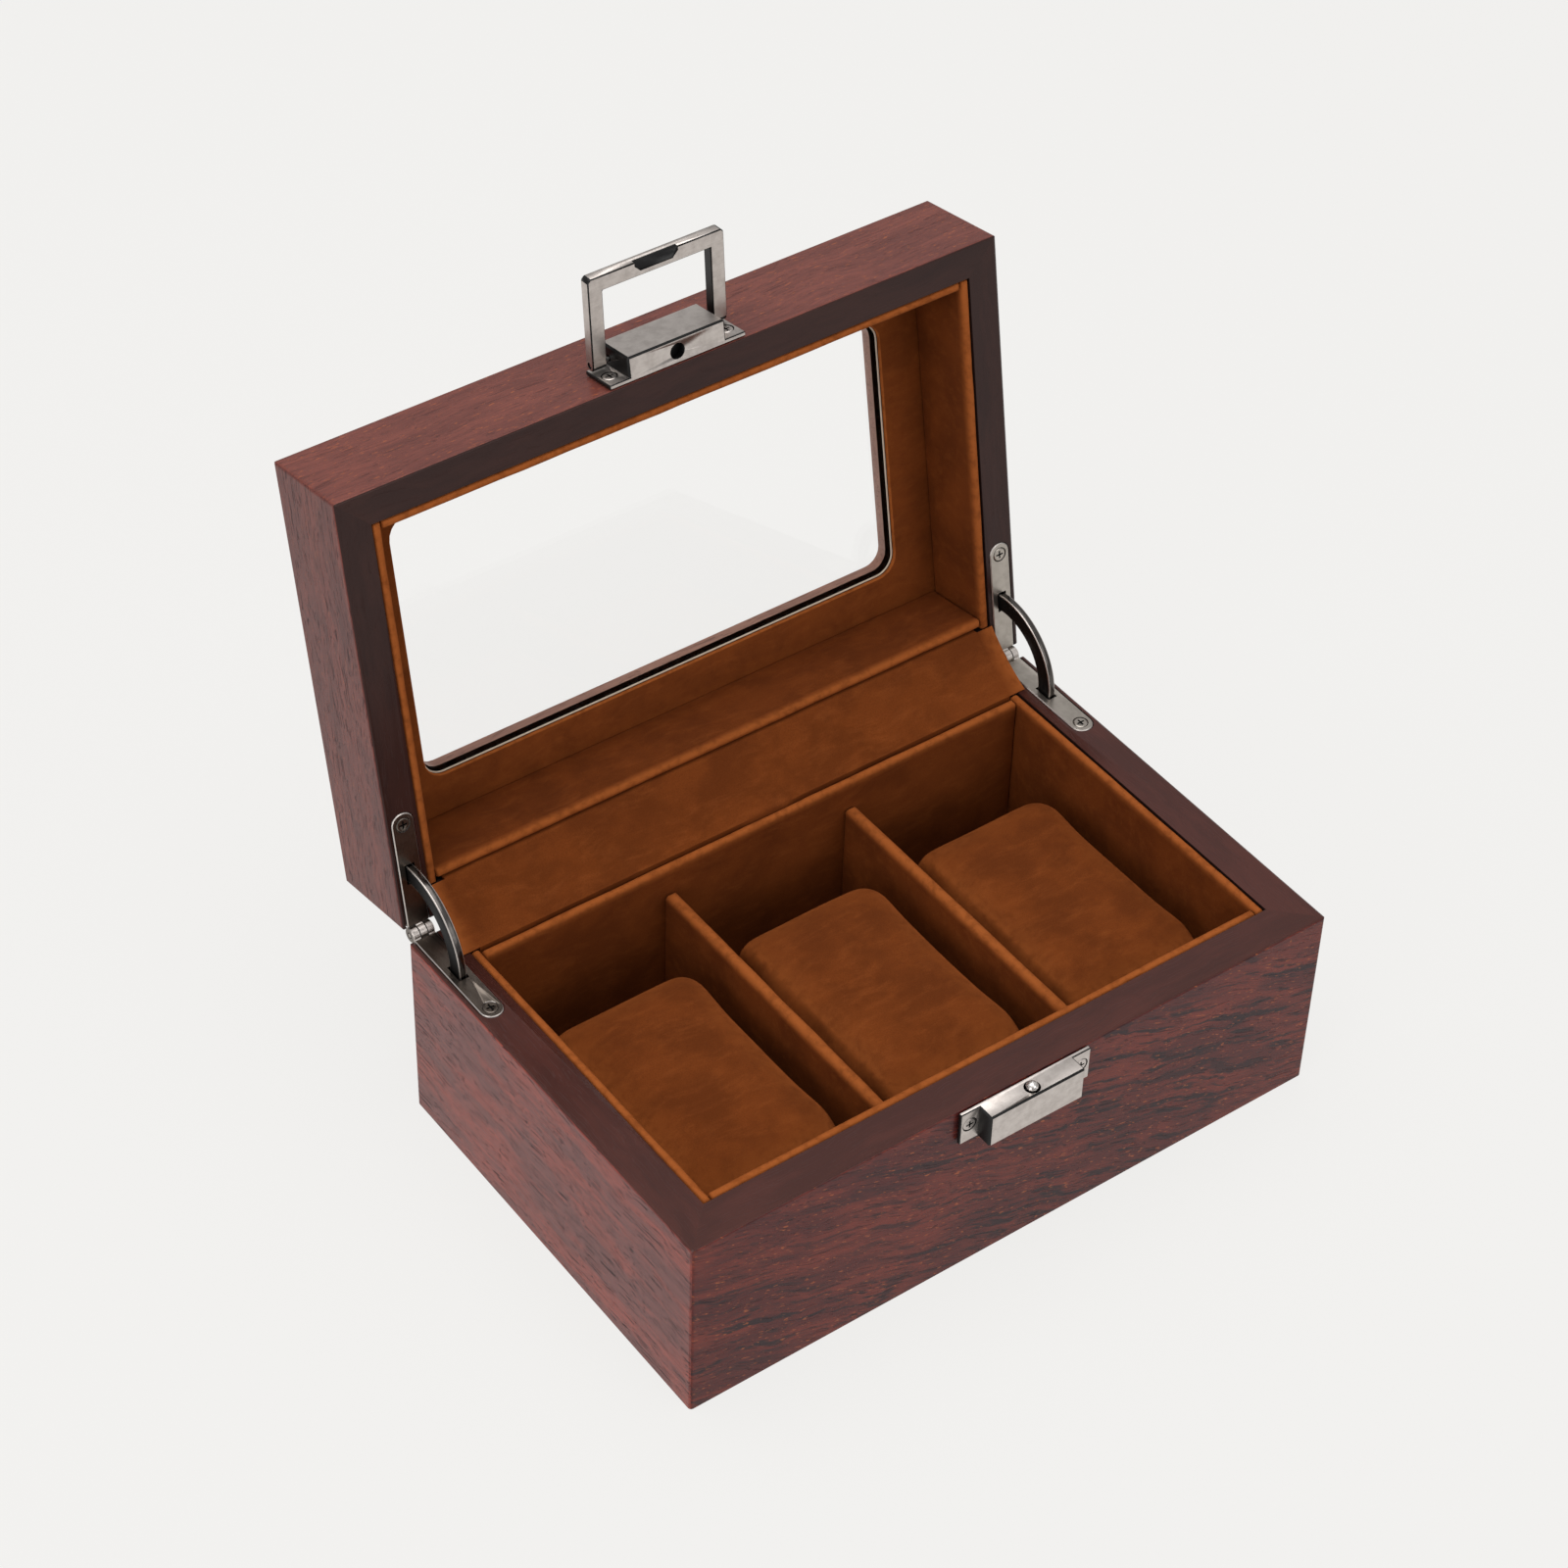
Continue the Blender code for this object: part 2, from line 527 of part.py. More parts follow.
def hinge(side, sign, wood):
    """One quadrant hinge: two leaves, their pin, screws and the curved stay between them."""
    x = sign * HINGE_X
    half = LEAF_WIDTH / 2
    for part, up, parent in (("base", -1, None), ("lid", 1, LID)):
        bm = prism(leaf_profile(up), x - half, x + half, "X")
        front = DEPTH / 2 - LEAF_LENGTH
        ends = [edge for edge in bm.edges
                if all(abs(v.co.y - front) < 1e-6 for v in edge.verts)
                and abs(edge.verts[0].co.z - edge.verts[1].co.z) > LEAF_THICKNESS / 2]
        bmesh.ops.bevel(bm, geom=ends, offset=half - SLIVER, segments=6, profile=0.5,
                        affect="EDGES", offset_type="OFFSET", material=-1)
        leaf = finish(f"{part}_leaf_{side}", bm, GUNMETAL, parent=parent, smooth=SMOOTH)
        bevel(leaf, LEAF_EDGE, 60)
        clear_knuckles(leaf, f"{part}_knuckle_{side}", x, up, parent)
        rim = RIM_Z if up < 0 else LID_RIM_Z
        deep = LEAF_THICKNESS + SPARE
        wide = STAY_THICKNESS / 2 + STAY_CLEARANCE
        slot_low = AXIS_Y - STAY_OUTER - STAY_CLEARANCE
        slot_high = AXIS_Y - STAY_INNER + STAY_CLEARANCE
        slot = cube((x - wide, slot_low, rim - deep), (x + wide, slot_high, rim + deep))
        cut(leaf, f"{part}_slot_{side}_cutter", slot, parent)
        face = rim - up * LEAF_PROUD
        head = (x, DEPTH / 2 - LEAF_SCREW, face)
        seat = cut(leaf, f"{part}_screw_{side}_cutter", countersink(head, (0, 0, up)), parent)
        screw(f"{part}_leaf_screw_{side}", GUNMETAL, parent, head, (0, 0, up))
        start = (x - half - SPARE, AXIS_Y, AXIS_Z)
        pin_hole = rod(start, PIN_RADIUS + FIT, LEAF_WIDTH + 2 * SPARE, "X", 16)
        cut(leaf, f"{part}_pin_{side}_cutter", pin_hole, parent)
        recess_and_mortise(part, side, x, up, parent, wood, seat)
    bm = rod((x - half, AXIS_Y, AXIS_Z), PIN_RADIUS, LEAF_WIDTH, "X", 16)
    finish(f"hinge_pin_{side}", bm, GUNMETAL, origin=(x, AXIS_Y, AXIS_Z), smooth=SMOOTH)
    stay(side, x)


def clear_knuckles(leaf, name, x, up, parent):
    """Takes away the knuckles that belong to the other leaf."""
    middle = MIDDLE_KNUCKLE / 2
    reach = KNUCKLE_RADIUS + FIT
    low = (AXIS_Y - reach, AXIS_Z - 2 * reach)
    high = (AXIS_Y + 2 * reach, AXIS_Z + 2 * reach)
    if up < 0:
        ranges = [(x - middle - FIT / 2, x + middle + FIT / 2)]
    else:
        ranges = [(x - LEAF_WIDTH, x - middle + FIT / 2), (x + middle - FIT / 2, x + LEAF_WIDTH)]
    for index, (start, end) in enumerate(ranges):
        cut(leaf, f"{name}_{index}_cutter", cube((start, *low), (end, *high)), parent)


def recess_and_mortise(part, side, x, up, parent, wood, seat):
    """Lets the leaf into the boards and hollows them for the stay and the screw."""
    rim = RIM_Z if up < 0 else LID_RIM_Z
    half = LEAF_WIDTH / 2 + FIT
    front = DEPTH / 2 - LEAF_LENGTH - FIT
    nose = arc((x, front + half), half, math.pi, 2 * math.pi, 8)
    outline = [*nose, (x + half, AXIS_Y), (x - half, AXIS_Y)]
    deep = rim + up * (LEAF_THICKNESS - LEAF_PROUD + FIT)
    bm = prism(outline, *sorted((deep, rim - up * SPARE)))
    recess = hidden(f"{part}_recess_{side}_cutter", bm, parent)
    wide = STAY_THICKNESS / 2 + MORTISE_SIDE
    depth = STAY_OUTER * math.sin(STAY_HALF) + MORTISE_END
    near = AXIS_Y - (STAY_INNER - STAY_HOOK) * math.cos(STAY_HALF) + MORTISE_BACK
    far = AXIS_Y - STAY_OUTER - MORTISE_BACK
    floor = AXIS_Z + up * depth
    bm = cube((x - wide, far, min(floor, rim)), (x + wide, near, max(floor, rim)))
    mortise = hidden(f"{part}_mortise_{side}_cutter", bm, parent)
    for cutter in (recess, mortise):
        for board in (wood[f"{part}_{side}_board"], wood[f"{part}_rear_board"]):
            combine(board, cutter, "DIFFERENCE")
    combine(wood[f"{part}_{side}_board"], seat, "DIFFERENCE")


def stay(side, x):
    """The curved stay: a flat quadrant with a hook at each end, symmetric about the parting plane."""
    hook = STAY_INNER - STAY_HOOK
    centre = (AXIS_Y, AXIS_Z)
    end = STAY_HALF
    start = end - STAY_HOOK_SPAN
    outer = arc(centre, STAY_OUTER, math.pi - end, math.pi + end, 28)
    lower = arc(centre, hook, math.pi + end, math.pi + start, 2)
    inner = arc(centre, STAY_INNER, math.pi + start, math.pi - start, 24)
    upper = arc(centre, hook, math.pi - start, math.pi - end, 2)
    outline = [*outer, *lower, *inner, *upper]
    bm = prism(outline, x - STAY_THICKNESS / 2, x + STAY_THICKNESS / 2, "X")
    pivot = empty(f"stay_pivot_{side}", (x, AXIS_Y, AXIS_Z), (-OPEN_ANGLE / 2, 0, 0))
    FRAMES[pivot] = (x, AXIS_Y, AXIS_Z)
    finish(f"stay_{side}", bm, GUNMETAL, origin=(x, AXIS_Y, AXIS_Z), parent=pivot,
           smooth=SMOOTH)


# --- clasp ------------------------------------------------------------------------------------------------

def escutcheon(name, block_half, block_z, block_depth, plate_z, parent):
    """A plate with two ears and a block in front of it, as one casting."""
    back = FRONT_Y - FIT
    face = back - PLATE
    half = PLATE_WIDTH / 2
    plate = cube((-half, face, plate_z[0]), (half, back, plate_z[1]))
    obj = finish(name, plate, NICKEL, parent=parent)
    bevel(obj, PLATE_EDGE)
    block = cube((-block_half, face - block_depth, block_z[0]), (block_half, back, block_z[1]))
    solid = hidden(f"{name}_block", block, parent)
    bevel(solid, BLOCK_EDGE)
    combine(obj, solid, "UNION")
    return obj


def clasp(wood):
    """The clasp plate on the lid, the catch plate on the base, and the screws and locating ball."""
    socket_y = PIVOT_Y
    plate_z = (LID_RIM_Z, LID_RIM_Z + PLATE_HEIGHT)
    block_z = (LID_RIM_Z, LID_RIM_Z + CLASP_BLOCK_HEIGHT)
    lid_plate = escutcheon("clasp_plate", CLASP_BLOCK_WIDTH / 2, block_z, CLASP_BLOCK_DEPTH,
                           plate_z, LID)
    deep = BALL_SOCKET_DEPTH + SPARE
    socket = rod((0, socket_y, LID_RIM_Z - SPARE), BALL_SOCKET, deep, "Z", 20)
    cut(lid_plate, "clasp_socket_cutter", socket, LID)

    plate_z = (RIM_Z - FIT - CATCH_BLOCK_HEIGHT, RIM_Z - FIT)
    catch = escutcheon("catch_plate", CATCH_BLOCK_WIDTH / 2, plate_z, CATCH_BLOCK_DEPTH, plate_z, None)
    socket = rod((0, socket_y, plate_z[1] - BALL_SOCKET_DEPTH), BALL_SOCKET, deep, "Z", 20)
    cut(catch, "catch_socket_cutter", socket)
    bm = bmesh.new()
    bmesh.ops.create_uvsphere(bm, u_segments=16, v_segments=10, radius=BALL_RADIUS)
    bmesh.ops.translate(bm, vec=(0, socket_y, plate_z[1]), verts=bm.verts)
    finish("catch_ball", bm, NICKEL, origin=(0, socket_y, plate_z[1]), smooth=SMOOTH)

    face = FRONT_Y - FIT - PLATE
    places = (("clasp", lid_plate, LID_RIM_Z + CLASP_SCREW_Z, LID, "lid_front_board"),
              ("catch", catch, RIM_Z - FIT - CLASP_SCREW_Z, None, "base_front_board"))
    for prefix, plate, z, parent, board in places:
        for side, sign in (("left", -1), ("right", 1)):
            head = (sign * CLASP_SCREW_X, face, z)
            name = f"{prefix}_screw_{side}"
            seat = cut(plate, f"{name}_seat_cutter", countersink(head, (0, 1, 0)), parent)
            combine(wood[board], seat, "DIFFERENCE")
            screw(name, NICKEL, parent, head, (0, 1, 0))
    bail(lid_plate)


def bail(lid_plate):
    """The swinging frame that hooks under the catch block, hanging straight down as modelled."""
    half = BAIL_WIDTH / 2
    inner = half - BAIL_LEG
    foot_z = PIVOT_Z + BAIL_FOOT
    corner = BAIL_CORNER
    low = PIVOT_Z - BAIL_LENGTH
    outline = [(-half, foot_z), (-half, low + corner), (-half + corner, low),
               (half - corner, low), (half, low + corner), (half, foot_z),
               (inner, foot_z), (inner, low + BAIL_LEG), (-inner, low + BAIL_LEG), (-inner, foot_z)]
    back = PIVOT_Y + BAIL_THICKNESS / 2
    bm = prism(outline, PIVOT_Y - BAIL_THICKNESS / 2, back, "Y")
    pivot = empty("bail_pivot", Vector((0, PIVOT_Y, PIVOT_Z)) - Vector(FRAMES[LID]),
                  (-BAIL_ANGLE, 0, 0), LID)
    FRAMES[pivot] = (0, PIVOT_Y, PIVOT_Z)
    frame = finish("bail", bm, NICKEL, origin=(0, PIVOT_Y, PIVOT_Z), parent=pivot)
    feet = [edge for edge in frame.data.edges
            if all(abs(frame.data.vertices[i].co.z - BAIL_FOOT) < 1e-6 for i in edge.vertices)
            and abs(frame.data.vertices[edge.vertices[0]].co.x
                    - frame.data.vertices[edge.vertices[1]].co.x) > BAIL_LEG / 2]
    round_feet(frame, feet)
    bevel(frame, BAIL_EDGE)
    wide, narrow = BAIL_NOTCH / 2, BAIL_NOTCH / 2 - BAIL_NOTCH_CHAMFER
    top = low + BAIL_NOTCH_HEIGHT
    shoulder = top - BAIL_NOTCH_CHAMFER
    notch = [(-wide, low - SPARE), (wide, low - SPARE), (wide, shoulder), (narrow, top),
             (-narrow, top), (-wide, shoulder)]
    bm = prism(notch, back - BAIL_NOTCH_DEPTH, back + SPARE, "Y")
    cut(frame, "bail_notch_cutter", bm, pivot)
    for side, sign in (("left", -1), ("right", 1)):
        start = sign * (CLASP_BLOCK_WIDTH / 2 - BAIL_PIN_SEAT)
        end = sign * (half - FIT)
        low_x, high_x = sorted((start, end))
        bm = rod((low_x, PIVOT_Y, PIVOT_Z), BAIL_PIN_RADIUS, high_x - low_x, "X", 12)
        finish(f"bail_pin_{side}", bm, NICKEL, origin=(0, PIVOT_Y, PIVOT_Z), parent=pivot,
               smooth=SMOOTH)
        low_x, high_x = sorted((start - sign * FIT, sign * (half + SPARE)))
        hole = rod((low_x, PIVOT_Y, PIVOT_Z), BAIL_PIN_RADIUS + FIT, high_x - low_x, "X", 12)
        cutter = cut(frame, f"bail_pin_{side}_cutter", hole, pivot)
        combine(lid_plate, cutter, "DIFFERENCE")


def round_feet(frame, feet):
    """Rounds the two feet of the bail about its pivot."""
    bm = bmesh.new()
    bm.from_mesh(frame.data)
    bm.edges.ensure_lookup_table()
    chosen = [bm.edges[edge.index] for edge in feet]
    bmesh.ops.bevel(bm, geom=chosen, offset=BAIL_THICKNESS / 2 - SLIVER, segments=4, profile=0.5,
                    affect="EDGES", offset_type="OFFSET", material=-1)
    bm.to_mesh(frame.data)
    bm.free()


# --- hinge cover ------------------------------------------------------------------------------------------

def hinge_cover():
    """A strip of suede that bridges the rear linings; both tails are tucked behind them."""
    base_reach = AXIS_Y - (DEPTH / 2 - BASE_WALL - FIT)
    lid_reach = AXIS_Y - (DEPTH / 2 - LID_WALL - FIT)
    axis = Vector((AXIS_Y, AXIS_Z))

    def place(reach, height, angle):
        """A point at reach in front of the axis and at a height, turned up with the lid by angle."""
        turn = Matrix.Rotation(-angle, 2)
        return axis + turn @ Vector((-reach, height))

    start = place(base_reach, 0, 0)
    end = place(lid_reach, 0, OPEN_ANGLE)
    outward = Vector((start.y - end.y, end.x - start.x)).normalized()
    bridge = []
    for i in range(COVER_STEPS + 1):
        share = i / COVER_STEPS
        bridge.append(start.lerp(end, share) + outward * COVER_BULGE * math.sin(math.pi * share))
    tails = place(base_reach, -COVER_TAIL, 0), place(lid_reach, COVER_TAIL, OPEN_ANGLE)
    half = INNER_X - FIT
    cover = finish("hinge_cover", strip([tails[0], *bridge, tails[1]], half), SUEDE, smooth=SMOOTH)
    ears = hidden("hinge_cover_ears", strip(bridge, half + COVER_EAR))
    combine(cover, ears, "UNION")


def strip(path, half):
    """A strip of the cover's thickness along a path, reaching half to each side."""
    outline = path + offset_path(path, COVER)[::-1]
    return prism([tuple(point) for point in outline], -half, half, "X")


def offset_path(path, distance):
    """The path moved to its left by distance, mitred at its corners."""
    runs = [(after - before).normalized() for before, after in zip(path, path[1:])]
    normals = [Vector((-run.y, run.x)) for run in runs]
    moved = []
    for i, point in enumerate(path):
        near = normals[max(i - 1, 0)]
        mitre = (near + normals[min(i, len(normals) - 1)]).normalized()
        moved.append(point + mitre * distance / mitre.dot(near))
    return moved


# --- assembly ---------------------------------------------------------------------------------------------

clear_scene()
WOOD = material("veneer", (0.16, 0.045, 0.035), 0.35)
SUEDE = material("suede", (0.30, 0.09, 0.025), 0.95)
FELT_MATERIAL = material("felt", (0.02, 0.018, 0.016), 1.0)
GLASS_MATERIAL = material("glass", (0.9, 0.95, 0.95), 0.05)
NICKEL = material("nickel", (0.62, 0.60, 0.57), 0.22, 1.0)
GUNMETAL = material("gunmetal", (0.30, 0.29, 0.27), 0.28, 1.0)
LID = empty("lid_pivot", (0, AXIS_Y, AXIS_Z), (-OPEN_ANGLE, 0, 0))
FRAMES = {LID: (0, AXIS_Y, AXIS_Z)}


def main():
    """Builds the whole box."""
    wood = boards()
    top_frame()
    bottom()
    linings()
    dividers_and_cushions()
    for side, sign in (("left", -1), ("right", 1)):
        hinge(side, sign, wood)
    clasp(wood)
    hinge_cover()


main()
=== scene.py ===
"""Looks of the watch box: veneered case, suede linings, cushions, glazed lid and nickel hardware.

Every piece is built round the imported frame, in metres, with +Z up and the lid standing open.
"""

import json
import logging
import math
from dataclasses import dataclass, field, replace
from enum import Enum
from functools import cache
from typing import Any, Callable, Iterable, Sequence

import bmesh
import bpy
from bmesh.types import BMEdge, BMesh, BMVert
from bpy.types import Material, Mesh, Node, NodeTree, Object
from bpy.types import NodeSocket as Socket
from mathutils import Matrix, Vector, noise

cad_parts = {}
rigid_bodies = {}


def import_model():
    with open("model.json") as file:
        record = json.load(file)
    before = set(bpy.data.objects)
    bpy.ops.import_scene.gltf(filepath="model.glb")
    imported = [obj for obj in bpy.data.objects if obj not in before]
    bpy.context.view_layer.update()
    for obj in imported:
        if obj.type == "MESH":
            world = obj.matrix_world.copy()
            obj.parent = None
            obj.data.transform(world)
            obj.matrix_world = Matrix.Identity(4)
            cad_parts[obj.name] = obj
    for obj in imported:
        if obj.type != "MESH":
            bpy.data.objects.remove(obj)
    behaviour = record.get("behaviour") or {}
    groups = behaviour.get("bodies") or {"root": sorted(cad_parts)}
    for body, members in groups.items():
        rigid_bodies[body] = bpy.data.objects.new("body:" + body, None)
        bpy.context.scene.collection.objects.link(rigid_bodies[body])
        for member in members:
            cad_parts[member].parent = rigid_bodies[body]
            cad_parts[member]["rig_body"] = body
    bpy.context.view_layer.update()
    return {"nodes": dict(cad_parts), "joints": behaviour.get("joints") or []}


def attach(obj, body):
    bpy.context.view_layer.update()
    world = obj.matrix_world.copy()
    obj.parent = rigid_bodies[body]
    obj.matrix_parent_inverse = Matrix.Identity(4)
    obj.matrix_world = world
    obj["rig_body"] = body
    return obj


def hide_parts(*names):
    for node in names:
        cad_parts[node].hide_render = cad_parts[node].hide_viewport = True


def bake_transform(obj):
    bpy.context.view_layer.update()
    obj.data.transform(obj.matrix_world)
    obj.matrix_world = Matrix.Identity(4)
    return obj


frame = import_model()

MM = 0.001
SHARP = math.radians(35)
STEEP = math.radians(60)
FLAT = math.radians(0.4)
MERGE = 0.002 * MM
CUT_SNAP = 1e-7
SAME = 1e-6
OWN = "own"
log = logging.getLogger("watch_box")

Colour = tuple[float, float, float, float]


def srgb(red: int, green: int, blue: int) -> Colour:
    """Turns a display colour into scene values.

    Args:
        red: red from 0 to 255.
        green: green from 0 to 255.
        blue: blue from 0 to 255.

    Returns:
        The linear colour with full alpha.
    """
    def linear(value: int) -> float:
        """One channel, from display to linear."""
        share = value / 255
        return share / 12.92 if share <= 0.04045 else ((share + 0.055) / 1.055) ** 2.4

    return (linear(red), linear(green), linear(blue), 1.0)


# --- where things are -----------------------------------------------------------------------


class Side(Enum):
    """The four walls of the case, by the way each one faces."""

    FRONT = (0, -1)
    REAR = (0, 1)
    LEFT = (-1, 0)
    RIGHT = (1, 0)

    @property
    def label(self) -> str:
        """The word that this side's nodes carry."""
        return self.name.lower()

    @property
    def outward(self) -> Vector:
        """The direction this wall faces."""
        return Vector((self.value[0], self.value[1], 0))

    @property
    def long_axis(self) -> int:
        """Index of the axis along the wall: 0 for the width and 1 for the depth."""
        return 0 if self.value[0] == 0 else 1


@dataclass(frozen=True)
class LidTurn:
    """Turns the lid's pieces between shut, where they are modelled, and open at rest."""

    hinge: tuple[float, float, float]
    angle: float

    @classmethod
    def from_joints(cls, joints: Iterable[dict]) -> "LidTurn":
        """Reads the lid's hinge line and its swing from the frame's joints.

        Args:
            joints: the frame's joints.

        Returns:
            The turn of the lid.
        """
        joint = next(j for j in joints if j["name"] == "lid_hinge")
        return cls(tuple(joint["pos_m"]), math.radians(joint["range_deg"][1]))

    def _turn(self, angle: float) -> Matrix:
        """A turn about the hinge line."""
        centre = Vector(self.hinge)
        return (Matrix.Translation(centre) @ Matrix.Rotation(angle, 4, "X")
                @ Matrix.Translation(-centre))

    @property
    def to_shut(self) -> Matrix:
        """From the lid at rest to the shut lid."""
        return self._turn(self.angle)

    @property
    def to_rest(self) -> Matrix:
        """From the shut lid to the lid at rest."""
        return self._turn(-self.angle)


LID_TURN = LidTurn.from_joints(frame["joints"])


def node_mesh(node: str) -> BMesh:
    """A merged copy of a CAD node, as it stands when the lid is shut.

    Args:
        node: the CAD node's name.

    Returns:
        The copy; the CAD mesh is left alone.
    """
    bm = bmesh.new()
    bm.from_mesh(frame["nodes"][node].data)
    bmesh.ops.remove_doubles(bm, verts=bm.verts, dist=MERGE)
    bmesh.ops.dissolve_limit(bm, angle_limit=FLAT, verts=bm.verts, edges=bm.edges)
    if frame["nodes"][node]["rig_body"] == "lid":
        bmesh.ops.transform(bm, matrix=LID_TURN.to_shut, verts=bm.verts)
    bm.normal_update()
    return bm


def node_box(node: str) -> tuple[Vector, Vector]:
    """The box of a CAD node when the lid is shut.

    Args:
        node: the CAD node's name.

    Returns:
        Its lowest and highest corners.
    """
    bm = node_mesh(node)
    spans = list(zip(*(vert.co for vert in bm.verts)))
    bm.free()
    return Vector([min(span) for span in spans]), Vector([max(span) for span in spans])


def placed(name: str, data: Any) -> Object:
    """A new object of a mesh, light or camera, in the scene."""
    obj = bpy.data.objects.new(name, data)
    bpy.context.scene.collection.objects.link(obj)
    return obj


def publish(name: str, bm: BMesh, finishes: Iterable[Any],
            node: str | None = None, body: str | None = OWN,
            sharp: float = SHARP) -> Object:
    """Makes a finished piece of a mesh built with the lid shut.

    Args:
        name: the piece's name.
        bm: its mesh, freed here.
        finishes: its finishes, by face index.
        node: the CAD node it replaces, if it replaces one.
        body: the CAD body it rides on, OWN for its node's, or None for a piece left on no body.
        sharp: edges above this angle are shaded sharp.

    Returns:
        The piece.
    """
    if body == OWN:
        body = frame["nodes"][node]["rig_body"]
    if body == "lid":
        bmesh.ops.transform(bm, matrix=LID_TURN.to_rest, verts=bm.verts)
    mesh = bpy.data.meshes.new(name)
    bm.to_mesh(mesh)
    bm.free()
    for polygon in mesh.polygons:
        polygon.use_smooth = True
    mesh.set_sharp_from_angle(angle=sharp)
    for finish in finishes:
        mesh.materials.append(wear(finish))
    obj = placed(name, mesh)
    if body is not None:
        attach(obj, body)
    if node is not None:
        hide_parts(node)
    log.info("%s: %d faces", name, len(mesh.polygons))
    return obj


def cut(bm: BMesh, point: Sequence[float], normal: Sequence[float]) -> None:
    """Adds an edge loop where a plane crosses the mesh, and keeps both sides."""
    bmesh.ops.bisect_plane(bm, geom=bm.verts[:] + bm.edges[:] + bm.faces[:], dist=CUT_SNAP,
                           plane_co=point, plane_no=normal)


def round_off(bm: BMesh, parts: list, offset: float, segments: int,
              affect: str = "EDGES") -> None:
    """Rounds the given edges, or the given corners of a flat face."""
    bmesh.ops.bevel(bm, geom=parts, offset=offset, offset_type="OFFSET", segments=segments,
                    profile=0.5, affect=affect, clamp_overlap=True, material=-1)


def draw_out(bm: BMesh, edges: list[BMEdge],
             way: Vector) -> list[BMEdge]:
    """Extrudes a row of edges into a strip.

    Args:
        bm: the mesh.
        edges: the row.
        way: how far and where it is drawn.

    Returns:
        The strip's new far edges.
    """
    made = bmesh.ops.extrude_edge_only(bm, edges=edges)["geom"]
    moved = [item for item in made if isinstance(item, BMVert)]
    bmesh.ops.translate(bm, vec=way, verts=moved)
    return [item for item in made if isinstance(item, BMEdge)]


def thicken(bm: BMesh, thickness: float) -> None:
    """Gives a sheet its thickness, with its faces outwards."""
    bmesh.ops.solidify(bm, geom=bm.verts[:] + bm.edges[:] + bm.faces[:], thickness=thickness)
    bmesh.ops.recalc_face_normals(bm, faces=bm.faces)


def steep_edges(bm: BMesh) -> list[BMEdge]:
    """The edges that turn by more than a steep angle."""
    return [edge for edge in bm.edges if edge.calc_face_angle(0.0) > STEEP]


def dress(node: Object, finish: Any) -> None:
    """Puts a finish on a CAD node that is shown as it is."""
    for slot in node.material_slots:
        slot.material = wear(finish)


def weight_normals(obj: Object) -> None:
    """Keeps the large faces of a softened board flat in the light."""
    modifier = obj.modifiers.new("flat_faces", "WEIGHTED_NORMAL")
    modifier.keep_sharp = True
    modifier.weight = 100


# --- node tools -----------------------------------------------------------------------------


